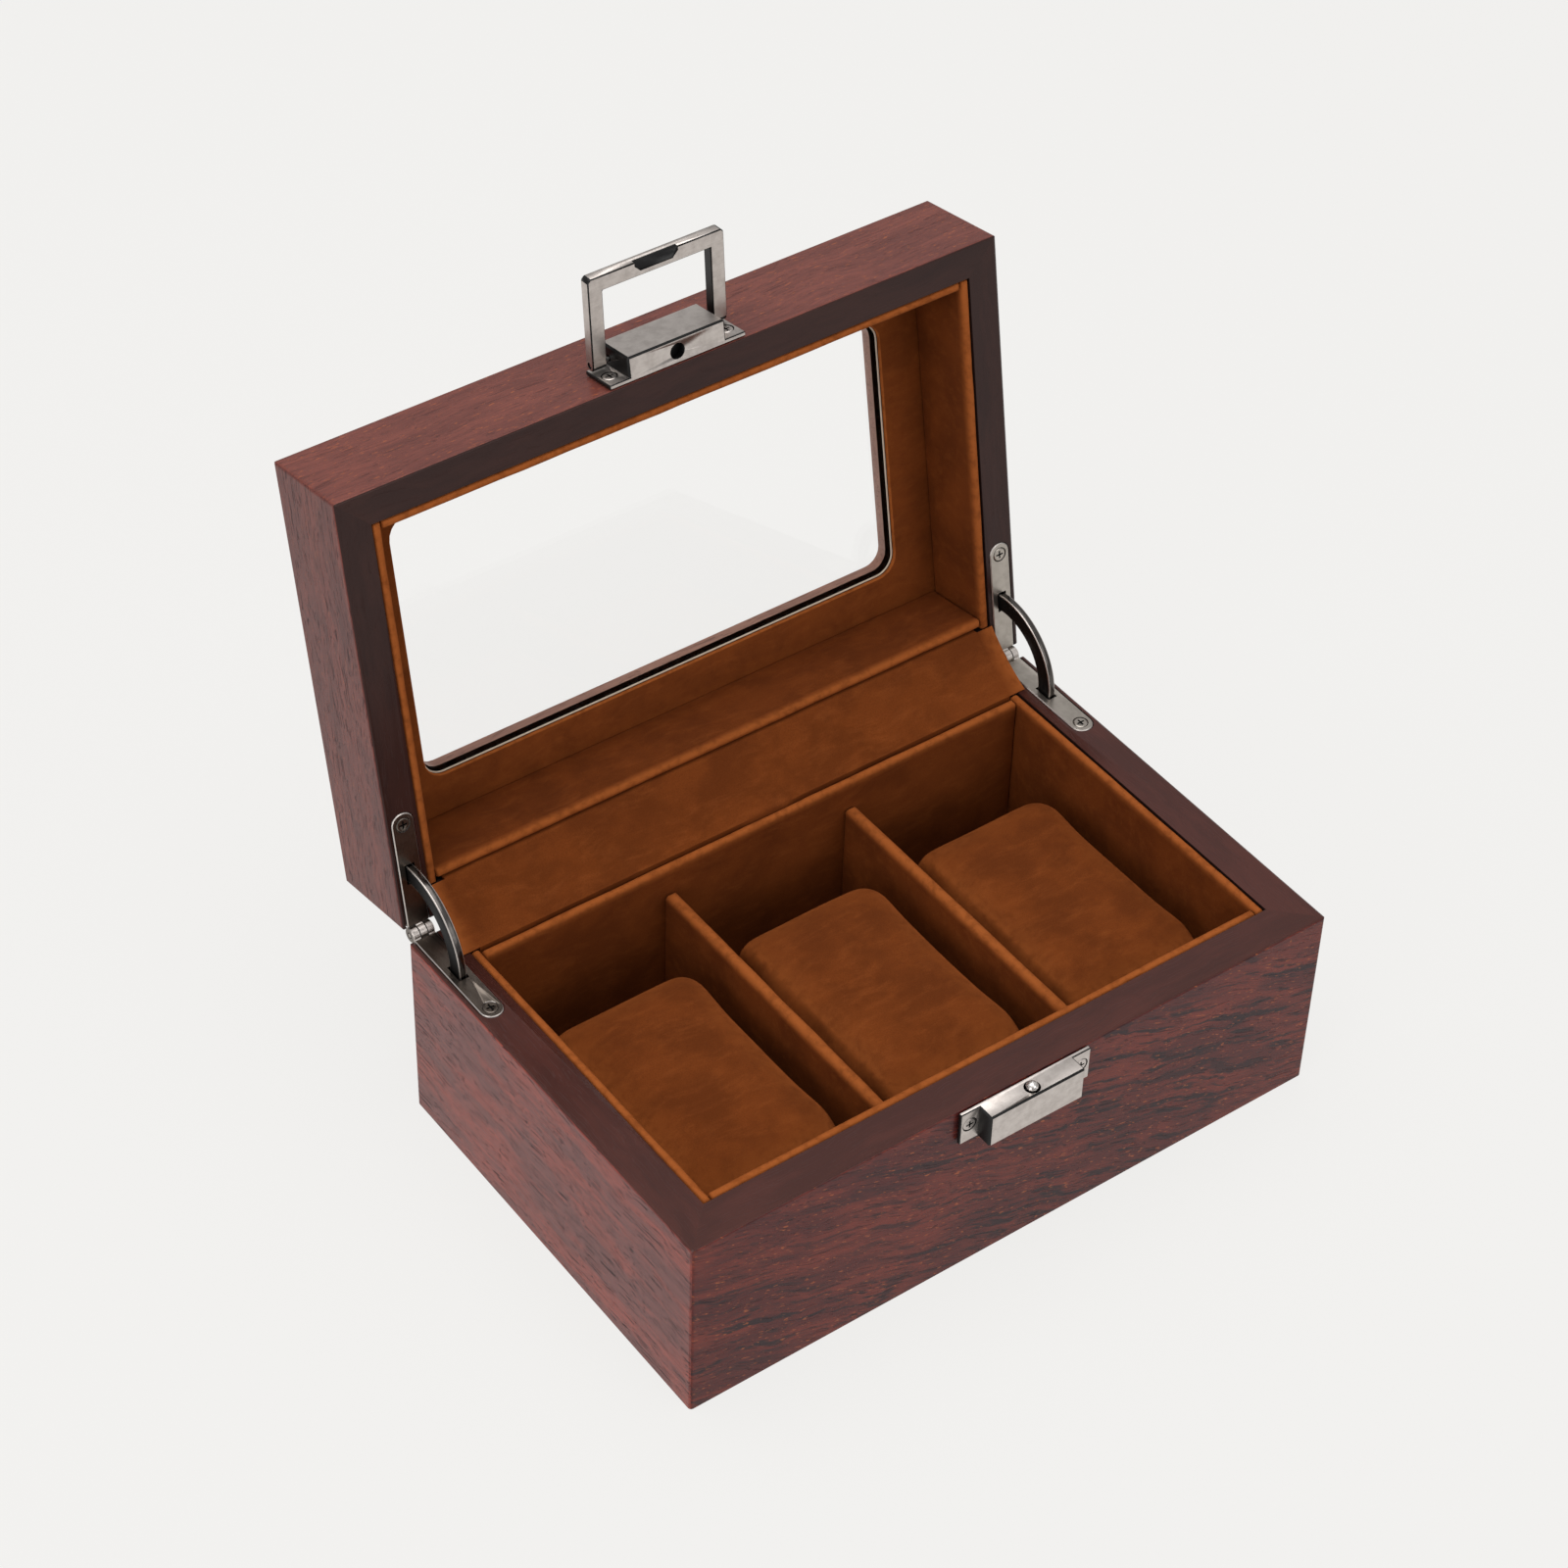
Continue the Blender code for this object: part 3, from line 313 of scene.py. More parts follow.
class Graph:
    """Adds nodes to one tree and joins them up."""

    def __init__(self, tree: NodeTree) -> None:
        """Works on the given tree."""
        self.tree = tree

    def node(self, kind: str, inputs: dict | None = None, **settings: Any) -> Node:
        """Adds a node.

        Args:
            kind: the node's type.
            inputs: values or sockets for its inputs, by name or index.
            **settings: the node's own settings.

        Returns:
            The node.
        """
        made = self.tree.nodes.new(kind)
        for key, value in settings.items():
            setattr(made, key, value)
        self.feed_all(made, inputs or {})
        return made

    def feed_all(self, node: Node, values: dict) -> None:
        """Links or sets a node's inputs, by name or index."""
        for key, value in values.items():
            self.feed(node.inputs[key], value)

    def feed(self, socket: Socket, value: Any) -> None:
        """Links a socket to an input, or sets the input's own value."""
        if isinstance(value, Socket):
            self.tree.links.new(value, socket)
        else:
            socket.default_value = value

    def math(self, operation: str, first: Any, second: Any = 0.0) -> Socket:
        """The result of one sum on two values."""
        made = self.node("ShaderNodeMath", {0: first, 1: second}, operation=operation)
        return made.outputs[0]

    def times(self, first: Any, *others: Any) -> Socket:
        """The product of two or more values."""
        for other in others:
            first = self.math("MULTIPLY", first, other)
        return first

    def add(self, first: Any, *others: Any) -> Socket:
        """The sum of two or more values."""
        for other in others:
            first = self.math("ADD", first, other)
        return first

    def stretch(self, vector: Socket, factors: Sequence[float]) -> Socket:
        """The vector, multiplied axis by axis."""
        made = self.node("ShaderNodeVectorMath", {0: vector, 1: tuple(factors)},
                         operation="MULTIPLY")
        return made.outputs[0]

    def noise(self, vector: Socket, scale: float | Sequence[float], detail: float = 2.0,
              rough: float = 0.5) -> Socket:
        """Fractal noise from 0 to 1, at one scale or one for each axis."""
        if not isinstance(scale, float):
            vector, scale = self.stretch(vector, scale), 1.0
        return self.node("ShaderNodeTexNoise", {"Vector": vector, "Scale": scale, "Detail": detail,
                                                "Roughness": rough}).outputs[0]

    def remap(self, value: Socket, low: float, high: float, start: float = 0.0,
              end: float = 1.0) -> Socket:
        """Maps low..high to start..end with soft ends."""
        made = self.node("ShaderNodeMapRange", {
            "Value": value, "From Min": low, "From Max": high, "To Min": start,
            "To Max": end}, interpolation_type="SMOOTHSTEP")
        return made.outputs[0]

    def mix(self, share: Any, first: Any, second: Any, blend: str = "MIX") -> Socket:
        """Two colours, mixed by a share."""
        made = self.node("ShaderNodeMix", data_type="RGBA", blend_type=blend)
        self.feed(made.inputs[0], share)
        self.feed(made.inputs[6], first)
        self.feed(made.inputs[7], second)
        return made.outputs[2]

    def drift(self, vector: Socket, scale: float, reach: float) -> Socket:
        """The vector, pushed about by slow noise.

        Args:
            vector: where, in millimetres.
            scale: bends per millimetre.
            reach: how far a point may be pushed, in millimetres.

        Returns:
            The moved vector.
        """
        wander = self.node("ShaderNodeTexNoise", {"Vector": vector, "Scale": scale, "Detail": 1.0})
        shift = self.node("ShaderNodeVectorMath",
                          {0: wander.outputs[1], 1: (0.5, 0.5, 0.5)}, operation="SUBTRACT")
        pushed = self.stretch(shift.outputs[0], (2 * reach, 2 * reach, 2 * reach))
        return self.node("ShaderNodeVectorMath", {0: vector, 1: pushed},
                         operation="ADD").outputs[0]


@cache
def wear(finish: Any) -> Material:
    """The material of a finish, made once."""
    return finish.material()


SOCKETS = {"vector": "NodeSocketVector", "colour": "NodeSocketColor", "value": "NodeSocketFloat"}


def effect(name: str, inputs: dict[str, str], outputs: dict[str, str],
           build: Callable[[Graph, dict[str, Socket]], dict[str, Socket]]) -> NodeTree:
    """Makes a shared effect once, as a node group.

    Args:
        name: the group's name.
        inputs: kinds of its inputs by name.
        outputs: kinds of its outputs by name.
        build: fills the group and returns its output sockets by name.

    Returns:
        The group.
    """
    known = bpy.data.node_groups.get(name)
    if known is not None:
        return known
    tree = bpy.data.node_groups.new(name, "ShaderNodeTree")
    for label, kind in inputs.items():
        tree.interface.new_socket(name=label, in_out="INPUT", socket_type=SOCKETS[kind])
    for label, kind in outputs.items():
        tree.interface.new_socket(name=label, in_out="OUTPUT", socket_type=SOCKETS[kind])
    graph = Graph(tree)
    entry = graph.node("NodeGroupInput")
    leave = graph.node("NodeGroupOutput")
    made = build(graph, {label: entry.outputs[label] for label in inputs})
    for label, socket in made.items():
        graph.feed(leave.inputs[label], socket)
    return tree


def veneer_figure() -> NodeTree:
    """Open-pored veneer with broken dark figure, its grain along X and its scale in millimetres."""
    def build(graph: Graph, given: dict[str, Socket]) -> dict[str, Socket]:
        """Lays ground, patches, figure, fine lines, specks and pores over each other."""
        flow = graph.drift(given["Vector"], 0.035, 3.2)
        flow = graph.drift(flow, 0.16, 0.7)
        patch = graph.remap(graph.noise(flow, (0.03, 0.14, 0.14), 4.0, 0.6), 0.40, 0.64)
        colour = graph.mix(patch, given["Ground"], given["Warm"])
        streak = graph.noise(flow, (0.045, 0.54, 0.54), 4.0, 0.62)
        band = graph.remap(graph.noise(flow, (0.012, 0.05, 0.05), 1.0), 0.35, 0.6, 0.35, 1.0)
        dark = graph.times(graph.remap(streak, 0.49, 0.61), given["Figure"], band)
        colour = graph.mix(dark, colour, given["Dark"])
        lines = graph.remap(graph.noise(flow, (0.04, 2.4, 2.4), 3.0, 0.6), 0.3, 0.72)
        colour = graph.mix(graph.times(lines, given["Lines"]), colour, given["Dark"])
        tick = graph.remap(graph.noise(given["Vector"], (0.45, 1.9, 1.9), 2.0), 0.64, 0.72)
        colour = graph.mix(graph.times(tick, given["Specks"]), colour, given["Speck"])
        pore = graph.remap(graph.noise(flow, (0.075, 2.4, 2.4), 1.0), 0.60, 0.66)
        colour = graph.mix(graph.times(pore, given["Pores"]), colour, given["Dark"])
        rough = graph.add(graph.times(pore, 0.22), given["Gloss"], graph.times(dark, 0.05))
        height = graph.math("SUBTRACT", 1.0, graph.times(pore, 0.8))
        height = graph.math("SUBTRACT", height, graph.times(lines, 0.15))
        return {"Color": colour, "Roughness": rough, "Height": height}

    return effect("veneer_figure",
                  {"Vector": "vector", "Ground": "colour", "Warm": "colour", "Dark": "colour",
                   "Speck": "colour", "Figure": "value", "Lines": "value", "Specks": "value",
                   "Pores": "value", "Gloss": "value"},
                  {"Color": "colour", "Roughness": "value", "Height": "value"}, build)


def brushed_nap() -> NodeTree:
    """Suede pile: cloudy strokes of lit and shaded nap over fine fibres, and a painted highlight of
    lit nap where the input asks, in millimetres.
    """
    def build(graph: Graph, given: dict[str, Socket]) -> dict[str, Socket]:
        """Lays strokes, clouds and fibres over each other, then the painted highlight."""
        flow = graph.drift(given["Vector"], 0.05, 4.0)
        cloud = graph.remap(graph.noise(flow, 0.07, 3.0, 0.6), 0.36, 0.66)
        colour = graph.mix(graph.times(cloud, 0.42), given["Ground"], given["Shade"])
        stroke = graph.remap(graph.noise(flow, (0.10, 0.34, 0.34), 4.0, 0.65), 0.45, 0.75)
        colour = graph.mix(graph.times(stroke, 0.22), colour, given["Lit"])
        fibre = graph.noise(given["Vector"], 2.6, 3.0, 0.7)
        colour = graph.mix(graph.times(graph.remap(fibre, 0.35, 0.75), 0.30), colour,
                           given["Shade"])
        # painted highlight: the lit colour laid over the nap where the input says light catches it
        rubbed = graph.times(given["Rubbed"],
                             graph.remap(graph.noise(flow, 0.4, 3.0, 0.6), 0.25, 0.6, 0.45, 1.0))
        colour = graph.mix(rubbed, colour, given["Lit"])
        return {"Color": colour, "Height": graph.add(fibre, graph.times(stroke, 0.5))}

    return effect("brushed_nap",
                  {"Vector": "vector", "Ground": "colour", "Lit": "colour", "Shade": "colour",
                   "Rubbed": "value"},
                  {"Color": "colour", "Height": "value"}, build)


def metal_brush() -> NodeTree:
    """Fine brushing along X with a few faint handling marks, in millimetres."""
    def build(graph: Graph, given: dict[str, Socket]) -> dict[str, Socket]:
        """Lays brush lines over soft blotches."""
        lines = graph.noise(given["Vector"], (0.25, 11.0, 11.0), 3.0, 0.6)
        blotch = graph.noise(given["Vector"], 0.38, 4.0, 0.65)
        marks = graph.remap(graph.noise(given["Vector"], (1.1, 0.22, 0.9), 2.0), 0.66, 0.74)
        tone = graph.add(graph.times(graph.remap(lines, 0.3, 0.7), 0.2),
                         graph.times(graph.remap(blotch, 0.35, 0.7), 0.4))
        colour = graph.mix(tone, given["Bright"], given["Dull"])
        rough = graph.add(given["Gloss"], graph.times(graph.remap(lines, 0.25, 0.8), 0.10),
                          graph.times(marks, 0.08))
        return {"Color": colour, "Roughness": rough, "Height": lines}

    return effect("metal_brush",
                  {"Vector": "vector", "Bright": "colour", "Dull": "colour", "Gloss": "value"},
                  {"Color": "colour", "Roughness": "value", "Height": "value"}, build)


# --- finishes -------------------------------------------------------------------------------


@dataclass(frozen=True)
class Grain:
    """How a pattern lies on a piece: turned with the open lid, then along its board."""

    on_lid: bool = False
    turn: tuple[float, float, float] = (0.0, 0.0, 0.0)
    shift: tuple[float, float, float] = (0.0, 0.0, 0.0)

    def coordinates(self, graph: Graph) -> Socket:
        """The piece's own coordinates in millimetres, with the grain along X.

        Args:
            graph: the material's graph.

        Returns:
            The vector socket.
        """
        place = graph.node("ShaderNodeTexCoord").outputs["Object"]
        upright = (LID_TURN.angle if self.on_lid else 0.0, 0.0, 0.0)
        scaled = graph.node("ShaderNodeMapping", {
            "Vector": place, "Rotation": upright, "Scale": (1 / MM,) * 3}).outputs[0]
        return graph.node("ShaderNodeMapping", {
            "Vector": scaled, "Rotation": tuple(math.radians(a) for a in self.turn),
            "Location": self.shift}).outputs[0]


def new_material(name: str) -> tuple[Material, Graph, Node]:
    """A fresh material with its graph and its shader."""
    material = bpy.data.materials.new(name)
    material.use_nodes = True
    return material, Graph(material.node_tree), material.node_tree.nodes["Principled BSDF"]


def add_bump(graph: Graph, shader: Node, height: Socket, strength: float,
             depth: float) -> None:
    """Feeds a height to the shader's normal, depth in metres."""
    bump = graph.node("ShaderNodeBump", {"Height": height, "Strength": strength,
                                         "Distance": depth})
    graph.feed(shader.inputs["Normal"], bump.outputs[0])


@dataclass(frozen=True)
class VeneerFinish:
    """Satin lacquered veneer."""

    name: str
    ground: Colour
    warm: Colour
    dark: Colour
    speck: Colour = srgb(176, 96, 52)
    figure: float = 0.9
    lines: float = 0.35
    specks: float = 0.6
    pores: float = 0.55
    gloss: float = 0.27
    specular: float = 0.22
    coat: float = 0.06
    coat_roughness: float = 0.16
    relief: float = 0.35
    grain: Grain = Grain()

    def material(self) -> Material:
        """The finish as a material."""
        material, graph, shader = new_material(self.name)
        made = graph.node("ShaderNodeGroup", {
            "Vector": self.grain.coordinates(graph), "Ground": self.ground, "Warm": self.warm,
            "Dark": self.dark, "Speck": self.speck, "Figure": self.figure, "Lines": self.lines,
            "Specks": self.specks, "Pores": self.pores, "Gloss": self.gloss},
            node_tree=veneer_figure())
        graph.feed_all(shader, {
            "Base Color": made.outputs["Color"], "Roughness": made.outputs["Roughness"],
            "Specular IOR Level": self.specular, "Coat Weight": self.coat,
            "Coat Roughness": self.coat_roughness})
        add_bump(graph, shader, made.outputs["Height"], self.relief, 0.12 * MM)
        return material


@dataclass(frozen=True)
class NapFinish:
    """Suede or felt, with a painted highlight of lit nap where an attribute says so."""

    name: str
    ground: Colour
    lit: Colour
    shade: Colour
    sheen: float = 0.10
    sheen_roughness: float = 0.4
    roughness: float = 0.95
    specular: float = 0.08
    relief: float = 0.4
    rubbed: bool = True
    grain: Grain = Grain()

    def material(self) -> Material:
        """The finish as a material."""
        material, graph, shader = new_material(self.name)
        rub: Any = 0.0
        # the painted highlight, read from its attribute
        if self.rubbed:
            rub = graph.node("ShaderNodeAttribute", attribute_name=PAINTED_HIGHLIGHT,
                             attribute_type="GEOMETRY").outputs["Fac"]
        made = graph.node("ShaderNodeGroup", {
            "Vector": self.grain.coordinates(graph), "Ground": self.ground, "Lit": self.lit,
            "Shade": self.shade, "Rubbed": rub}, node_tree=brushed_nap())
        graph.feed_all(shader, {
            "Base Color": made.outputs["Color"], "Roughness": self.roughness,
            "Specular IOR Level": self.specular, "Sheen Weight": self.sheen,
            "Sheen Roughness": self.sheen_roughness, "Sheen Tint": self.lit})
        add_bump(graph, shader, made.outputs["Height"], self.relief, 0.12 * MM)
        return material


@dataclass(frozen=True)
class MetalFinish:
    """Plated metal with fine brushing."""

    name: str
    bright: Colour
    dull: Colour
    gloss: float = 0.16
    relief: float = 0.12
    metallic: float = 1.0
    specular: float = 0.5
    grain: Grain = Grain()

    def material(self) -> Material:
        """The finish as a material."""
        material, graph, shader = new_material(self.name)
        made = graph.node("ShaderNodeGroup", {
            "Vector": self.grain.coordinates(graph), "Bright": self.bright, "Dull": self.dull,
            "Gloss": self.gloss}, node_tree=metal_brush())
        graph.feed_all(shader, {
            "Base Color": made.outputs["Color"], "Roughness": made.outputs["Roughness"],
            "Metallic": self.metallic, "Specular IOR Level": self.specular})
        add_bump(graph, shader, made.outputs["Height"], self.relief, 0.03 * MM)
        return material


@dataclass(frozen=True)
class GlassFinish:
    """Clear float glass."""

    name: str = "window_glass_clear"
    tint: Colour = (0.999, 1.0, 0.999, 1.0)
    index: float = 1.25

    def material(self) -> Material:
        """The finish as a material."""
        material, graph, shader = new_material(self.name)
        smear = graph.noise(Grain(on_lid=True).coordinates(graph), 0.05, 3.0)
        graph.feed_all(shader, {
            "Roughness": graph.remap(smear, 0.45, 0.8, 0.0, 0.015), "Base Color": self.tint,
            "Transmission Weight": 1.0, "IOR": self.index})
        return material


# attribute that holds the painted highlight on the nap
PAINTED_HIGHLIGHT = "nap_rubbed"
ACROSS = (0.0, 0.0, -90.0)
BASE_VENEER = VeneerFinish("base_front_veneer", srgb(84, 33, 30), srgb(112, 46, 36),
                           srgb(35, 24, 28), figure=0.9, lines=0.30, specks=0.55, specular=0.14,
                           pores=0.45, grain=Grain(turn=(0.0, -20.0, 0.0)))
# Both sides get a lighter, mauve ground: partly the veneer's own tone, partly a painted sheen of
# the light from the left.
SIDE_VENEER_AND_SHEEN = VeneerFinish("base_side_veneer", srgb(118, 70, 66), srgb(148, 74, 64),
                           srgb(46, 23, 25), figure=0.25, lines=0.45, specks=0.35,
                           specular=0.12, coat=0.02, pores=0.85,
                           grain=Grain(turn=ACROSS, shift=(40.0, 90.0, 7.0)))
REAR_VENEER = VeneerFinish("base_rear_veneer", srgb(92, 42, 38), srgb(110, 50, 42),
                           srgb(46, 27, 31), figure=0.7, lines=0.4,
                           grain=Grain(shift=(-61.0, 12.0, 30.0)))
LID_VENEER = VeneerFinish("lid_veneer", srgb(108, 58, 50), srgb(122, 66, 56), srgb(72, 38, 36),
                          figure=0.25, lines=0.4, specks=0.5, grain=Grain(on_lid=True))
LID_SIDE_VENEER = VeneerFinish("lid_side_veneer", srgb(104, 58, 53), srgb(120, 64, 56),
                               srgb(52, 28, 29), figure=0.3, lines=0.45, specks=0.3,
                               specular=0.12, coat=0.02, pores=0.8,
                               grain=Grain(on_lid=True, turn=ACROSS, shift=(15.0, 33.0, 80.0)))
RIM = VeneerFinish("rim_lacquer", srgb(66, 36, 31), srgb(76, 41, 35), srgb(46, 26, 24),
                   figure=0.2, lines=0.1, specks=0.0, pores=0.1, gloss=0.26, specular=0.22,
                   coat=0.06, relief=0.05)
SIDE_RIM = replace(RIM, name="side_rim_lacquer", grain=Grain(turn=ACROSS))
# the rim lacquer painted darker on the lid, as painted shade
LID_RIM_SHADE = VeneerFinish("lid_rim_lacquer", srgb(48, 29, 26), srgb(55, 33, 29), srgb(34, 21, 20),
                       figure=0.2, lines=0.1, specks=0.0, pores=0.1, gloss=0.26,
                       specular=0.16, coat=0.04, relief=0.05, grain=Grain(on_lid=True))
LID_SIDE_RIM_SHADE = replace(LID_RIM_SHADE, name="lid_side_rim_lacquer",
                       grain=Grain(on_lid=True, turn=ACROSS))
LIP = VeneerFinish("window_lip", srgb(158, 116, 100), srgb(168, 124, 106), srgb(104, 72, 62),
                   figure=0.3, lines=0.3, specks=0.0, gloss=0.3, grain=Grain(on_lid=True))
BARE = VeneerFinish("bare_wood", srgb(34, 20, 18), srgb(40, 24, 20), srgb(20, 13, 12),
                    figure=0.3, specks=0.0, gloss=0.55, coat=0.0)
# near-black rebate colour, painted shade under the glass's edge
REBATE_SHADE = VeneerFinish("rebate_paint", srgb(12, 10, 10), srgb(14, 12, 12), srgb(6, 5, 5),
                      figure=0.2, specks=0.0, gloss=0.35, coat=0.0)
SUEDE = NapFinish("tan_suede", srgb(111, 55, 20), srgb(148, 80, 36), srgb(68, 30, 9))
LID_SUEDE = NapFinish("tan_suede_lid", srgb(108, 53, 19), srgb(148, 80, 36), srgb(64, 28, 9),
                      grain=Grain(on_lid=True))
FELT = NapFinish("black_felt", srgb(28, 26, 25), srgb(46, 43, 41), srgb(14, 13, 13), sheen=0.2,
                 rubbed=False)
NICKEL = MetalFinish("bright_nickel", srgb(206, 198, 192), srgb(158, 149, 143), gloss=0.36)
POLISHED = MetalFinish("polished_nickel", srgb(232, 228, 224), srgb(206, 201, 196), gloss=0.10)
# near-black metal painted as shade and dark reflection on chamfers, ends, recesses and screw
# crosses
PAINTED_SHADE_METAL = MetalFinish("black_nickel", srgb(14, 13, 13), srgb(8, 8, 8), gloss=0.32,
                           metallic=0.0, specular=0.25)
STEEL = MetalFinish("satin_hinge", srgb(178, 170, 161), srgb(140, 133, 125), gloss=0.30,
                    relief=0.18, grain=Grain(turn=ACROSS))
# the same satin steel painted darker, as painted shade for the left hinge
SHADED_STEEL = MetalFinish("satin_hinge_dim", srgb(112, 103, 95), srgb(80, 72, 66), gloss=0.26,
                        relief=0.18, grain=Grain(turn=ACROSS))
BLACK_STEEL = MetalFinish("black_stay", srgb(13, 12, 12), srgb(8, 8, 8), gloss=0.42,
                          metallic=0.0, specular=0.12)
DARK_EDGE = MetalFinish("stay_edge", srgb(92, 88, 85), srgb(60, 57, 55), gloss=0.16)
BEAD = MetalFinish("window_bead", srgb(214, 198, 178), srgb(180, 162, 142), gloss=0.3,
                   metallic=0.0)


# --- the case -------------------------------------------------------------------------------


@dataclass
class Case:
    """The veneered carcass: eight mitred boards, the window frame, the bottom panel and felt."""

    mitre_gap: float = 0.15 * math.sqrt(2) * MM
    corner_radius: float = 1.0 * MM
    corner_steps: int = 4
    rim_band: float = 0.7 * MM
    frame_margin: float = 5 * MM
    lip_depth: float = 3.6 * MM
    lip_round: float = 0.5 * MM
    felt_round: float = 0.35 * MM
    felt_net: float = 9 * MM
    felt_ripple: float = 0.05 * MM
    veneers: dict[str, VeneerFinish] = field(default_factory=lambda: {
        "base_front": BASE_VENEER, "base_left": SIDE_VENEER_AND_SHEEN, "base_right": SIDE_VENEER_AND_SHEEN,
        "base_rear": REAR_VENEER, "lid_front": LID_VENEER, "lid_rear": LID_VENEER,
        "lid_left": LID_SIDE_VENEER, "lid_right": LID_SIDE_VENEER})

    def build(self) -> None:
        """Builds and dresses every wooden piece."""
        for part in ("base", "lid"):
            for side in Side:
                self.board(part, side)
        self.window_frame()
        self.bottom_panel()
        self.felt()

    def board(self, part: str, side: Side) -> None:
        """One mitred board with closed mitres and softened corners.

        Args:
            part: base or lid.
            side: the wall it is.
        """
        node = f"{part}_{side.label}_board"
        bm = node_mesh(node)
        self.close_mitres(bm, side)
        self.soften_corners(bm, side)
        bm.normal_update()
        low, high = node_box(node)
        rim, facing = (high.z, 1) if part == "base" else (low.z, -1)
        for face in bm.faces:
            centre = face.calc_center_median()
            if face.normal.z * facing > 0.5 and abs(centre.z - rim) < self.rim_band:
                face.material_index = 1
            elif face.normal.dot(side.outward) > 0.3 or self.on_corner(centre, face.normal, side):
                face.material_index = 0
            elif part == "lid" and face.normal.z > 0.85:
                face.material_index = 0
            else:
                face.material_index = 2
        veneer = self.veneers[f"{part}_{side.label}"]
        rims = (RIM, SIDE_RIM) if part == "base" else (LID_RIM_SHADE, LID_SIDE_RIM_SHADE)
        rim_finish = rims[side.long_axis]
        weight_normals(publish(f"{part}_{side.label}_veneered", bm, (veneer, rim_finish, BARE),
                               node))

    def on_corner(self, centre: Vector, normal: Vector, side: Side) -> bool:
        """Whether a face belongs to the rounding of an upright corner."""
        reach = self.reach()[side.long_axis]
        ahead = abs(normal[side.long_axis]) > 0.2 and normal.dot(side.outward) > 0.2
        return ahead and abs(centre[side.long_axis]) > reach - self.corner_radius

    def reach(self) -> tuple[float, float]:
        """Half the case's width and half its depth."""
        return node_box("base_left_board")[0].x * -1, node_box("base_front_board")[0].y * -1

    def close_mitres(self, bm: BMesh, side: Side) -> None:
        """Runs both ends of a board out to meet its neighbours, and its top to the frame.

        Args:
            bm: the board.
            side: the wall it is.
        """
        axis = side.long_axis
        ends: set[BMVert] = set()
        crowns: set[BMVert] = set()
        for face in bm.faces:
            inward = -face.normal.dot(side.outward)
            if abs(inward - math.sqrt(0.5)) > 0.01:
                continue
            if abs(abs(face.normal[axis]) - math.sqrt(0.5)) < 0.01:
                ends.update(face.verts)
            elif abs(face.normal.z - math.sqrt(0.5)) < 0.01:
                crowns.update(face.verts)
        for vert in ends:
            vert.co[axis] += math.copysign(self.mitre_gap, vert.co[axis])
        for vert in crowns:
            vert.co.z += self.mitre_gap

    def soften_corners(self, bm: BMesh, side: Side) -> None:
        """Rounds the upright outer corners of a board.

        Args:
            bm: the board.
            side: the wall it is.
        """
        axis, radius = side.long_axis, self.corner_radius
        half = self.reach()
        for step in range(1, self.corner_steps + 1):
            inset = radius * (1 - math.cos(math.pi / 4 + math.pi / 4 * step / self.corner_steps))
            for sign in (-1, 1):
                point, normal = Vector((0, 0, 0)), Vector((0, 0, 0))
                point[axis], normal[axis] = sign * (half[axis] - inset), sign
                cut(bm, point, normal)
        for vert in bm.verts:
            over = Vector((abs(vert.co.x) - half[0] + radius, abs(vert.co.y) - half[1] + radius))
            if min(over) > 0 and over.length > radius:
                over = over.normalized() * radius
                vert.co.x = math.copysign(half[0] - radius + over.x, vert.co.x)
                vert.co.y = math.copysign(half[1] - radius + over.y, vert.co.y)

    def window_frame(self) -> None:
        """The lid's top, its window edge lacquered and its rebate near-black as painted shade."""
        bm = node_mesh("lid_top_frame")
        high = node_box("lid_top_frame")[1]
        inside = high - Vector((1, 1, 0)) * self.frame_margin
        for face in bm.faces:
            centre = face.calc_center_median()
            if face.normal.z > 0.3:
                face.material_index = 0
            # painted shade: underside faces and the window wall below the lip take the near-black
            # rebate colour
            elif face.normal.z < -0.3:
                face.material_index = 2
            elif abs(centre.x) < inside.x and abs(centre.y) < inside.y:
                face.material_index = 1 if centre.z > high.z - self.lip_depth else 2
            else:
                face.material_index = 0
        edges = [edge for edge in steep_edges(bm)
                 if {face.material_index for face in edge.link_faces} <= {0, 1}
                 and max(abs(vert.co.x) for vert in edge.verts) < inside.x]
        round_off(bm, edges, self.lip_round, 3)
        weight_normals(publish("lid_window_frame", bm, (LID_VENEER, LIP, REBATE_SHADE),
                               "lid_top_frame"))

    def bottom_panel(self) -> None:
        """The panel that closes the base."""
        publish("base_bottom_panel", node_mesh("bottom_panel"), (BARE,),
                "bottom_panel")

    def felt(self) -> None:
        """The felt under the base, with soft edges and a slightly uneven face."""
        bm = soft_slab(*node_box("underside_felt"), self.felt_round, self.felt_net)
        ripple(bm, self.felt_ripple, 0.11, 31)
        publish("base_felt", bm, (FELT,), "underside_felt")


# --- soft shapes ----------------------------------------------------------------------------


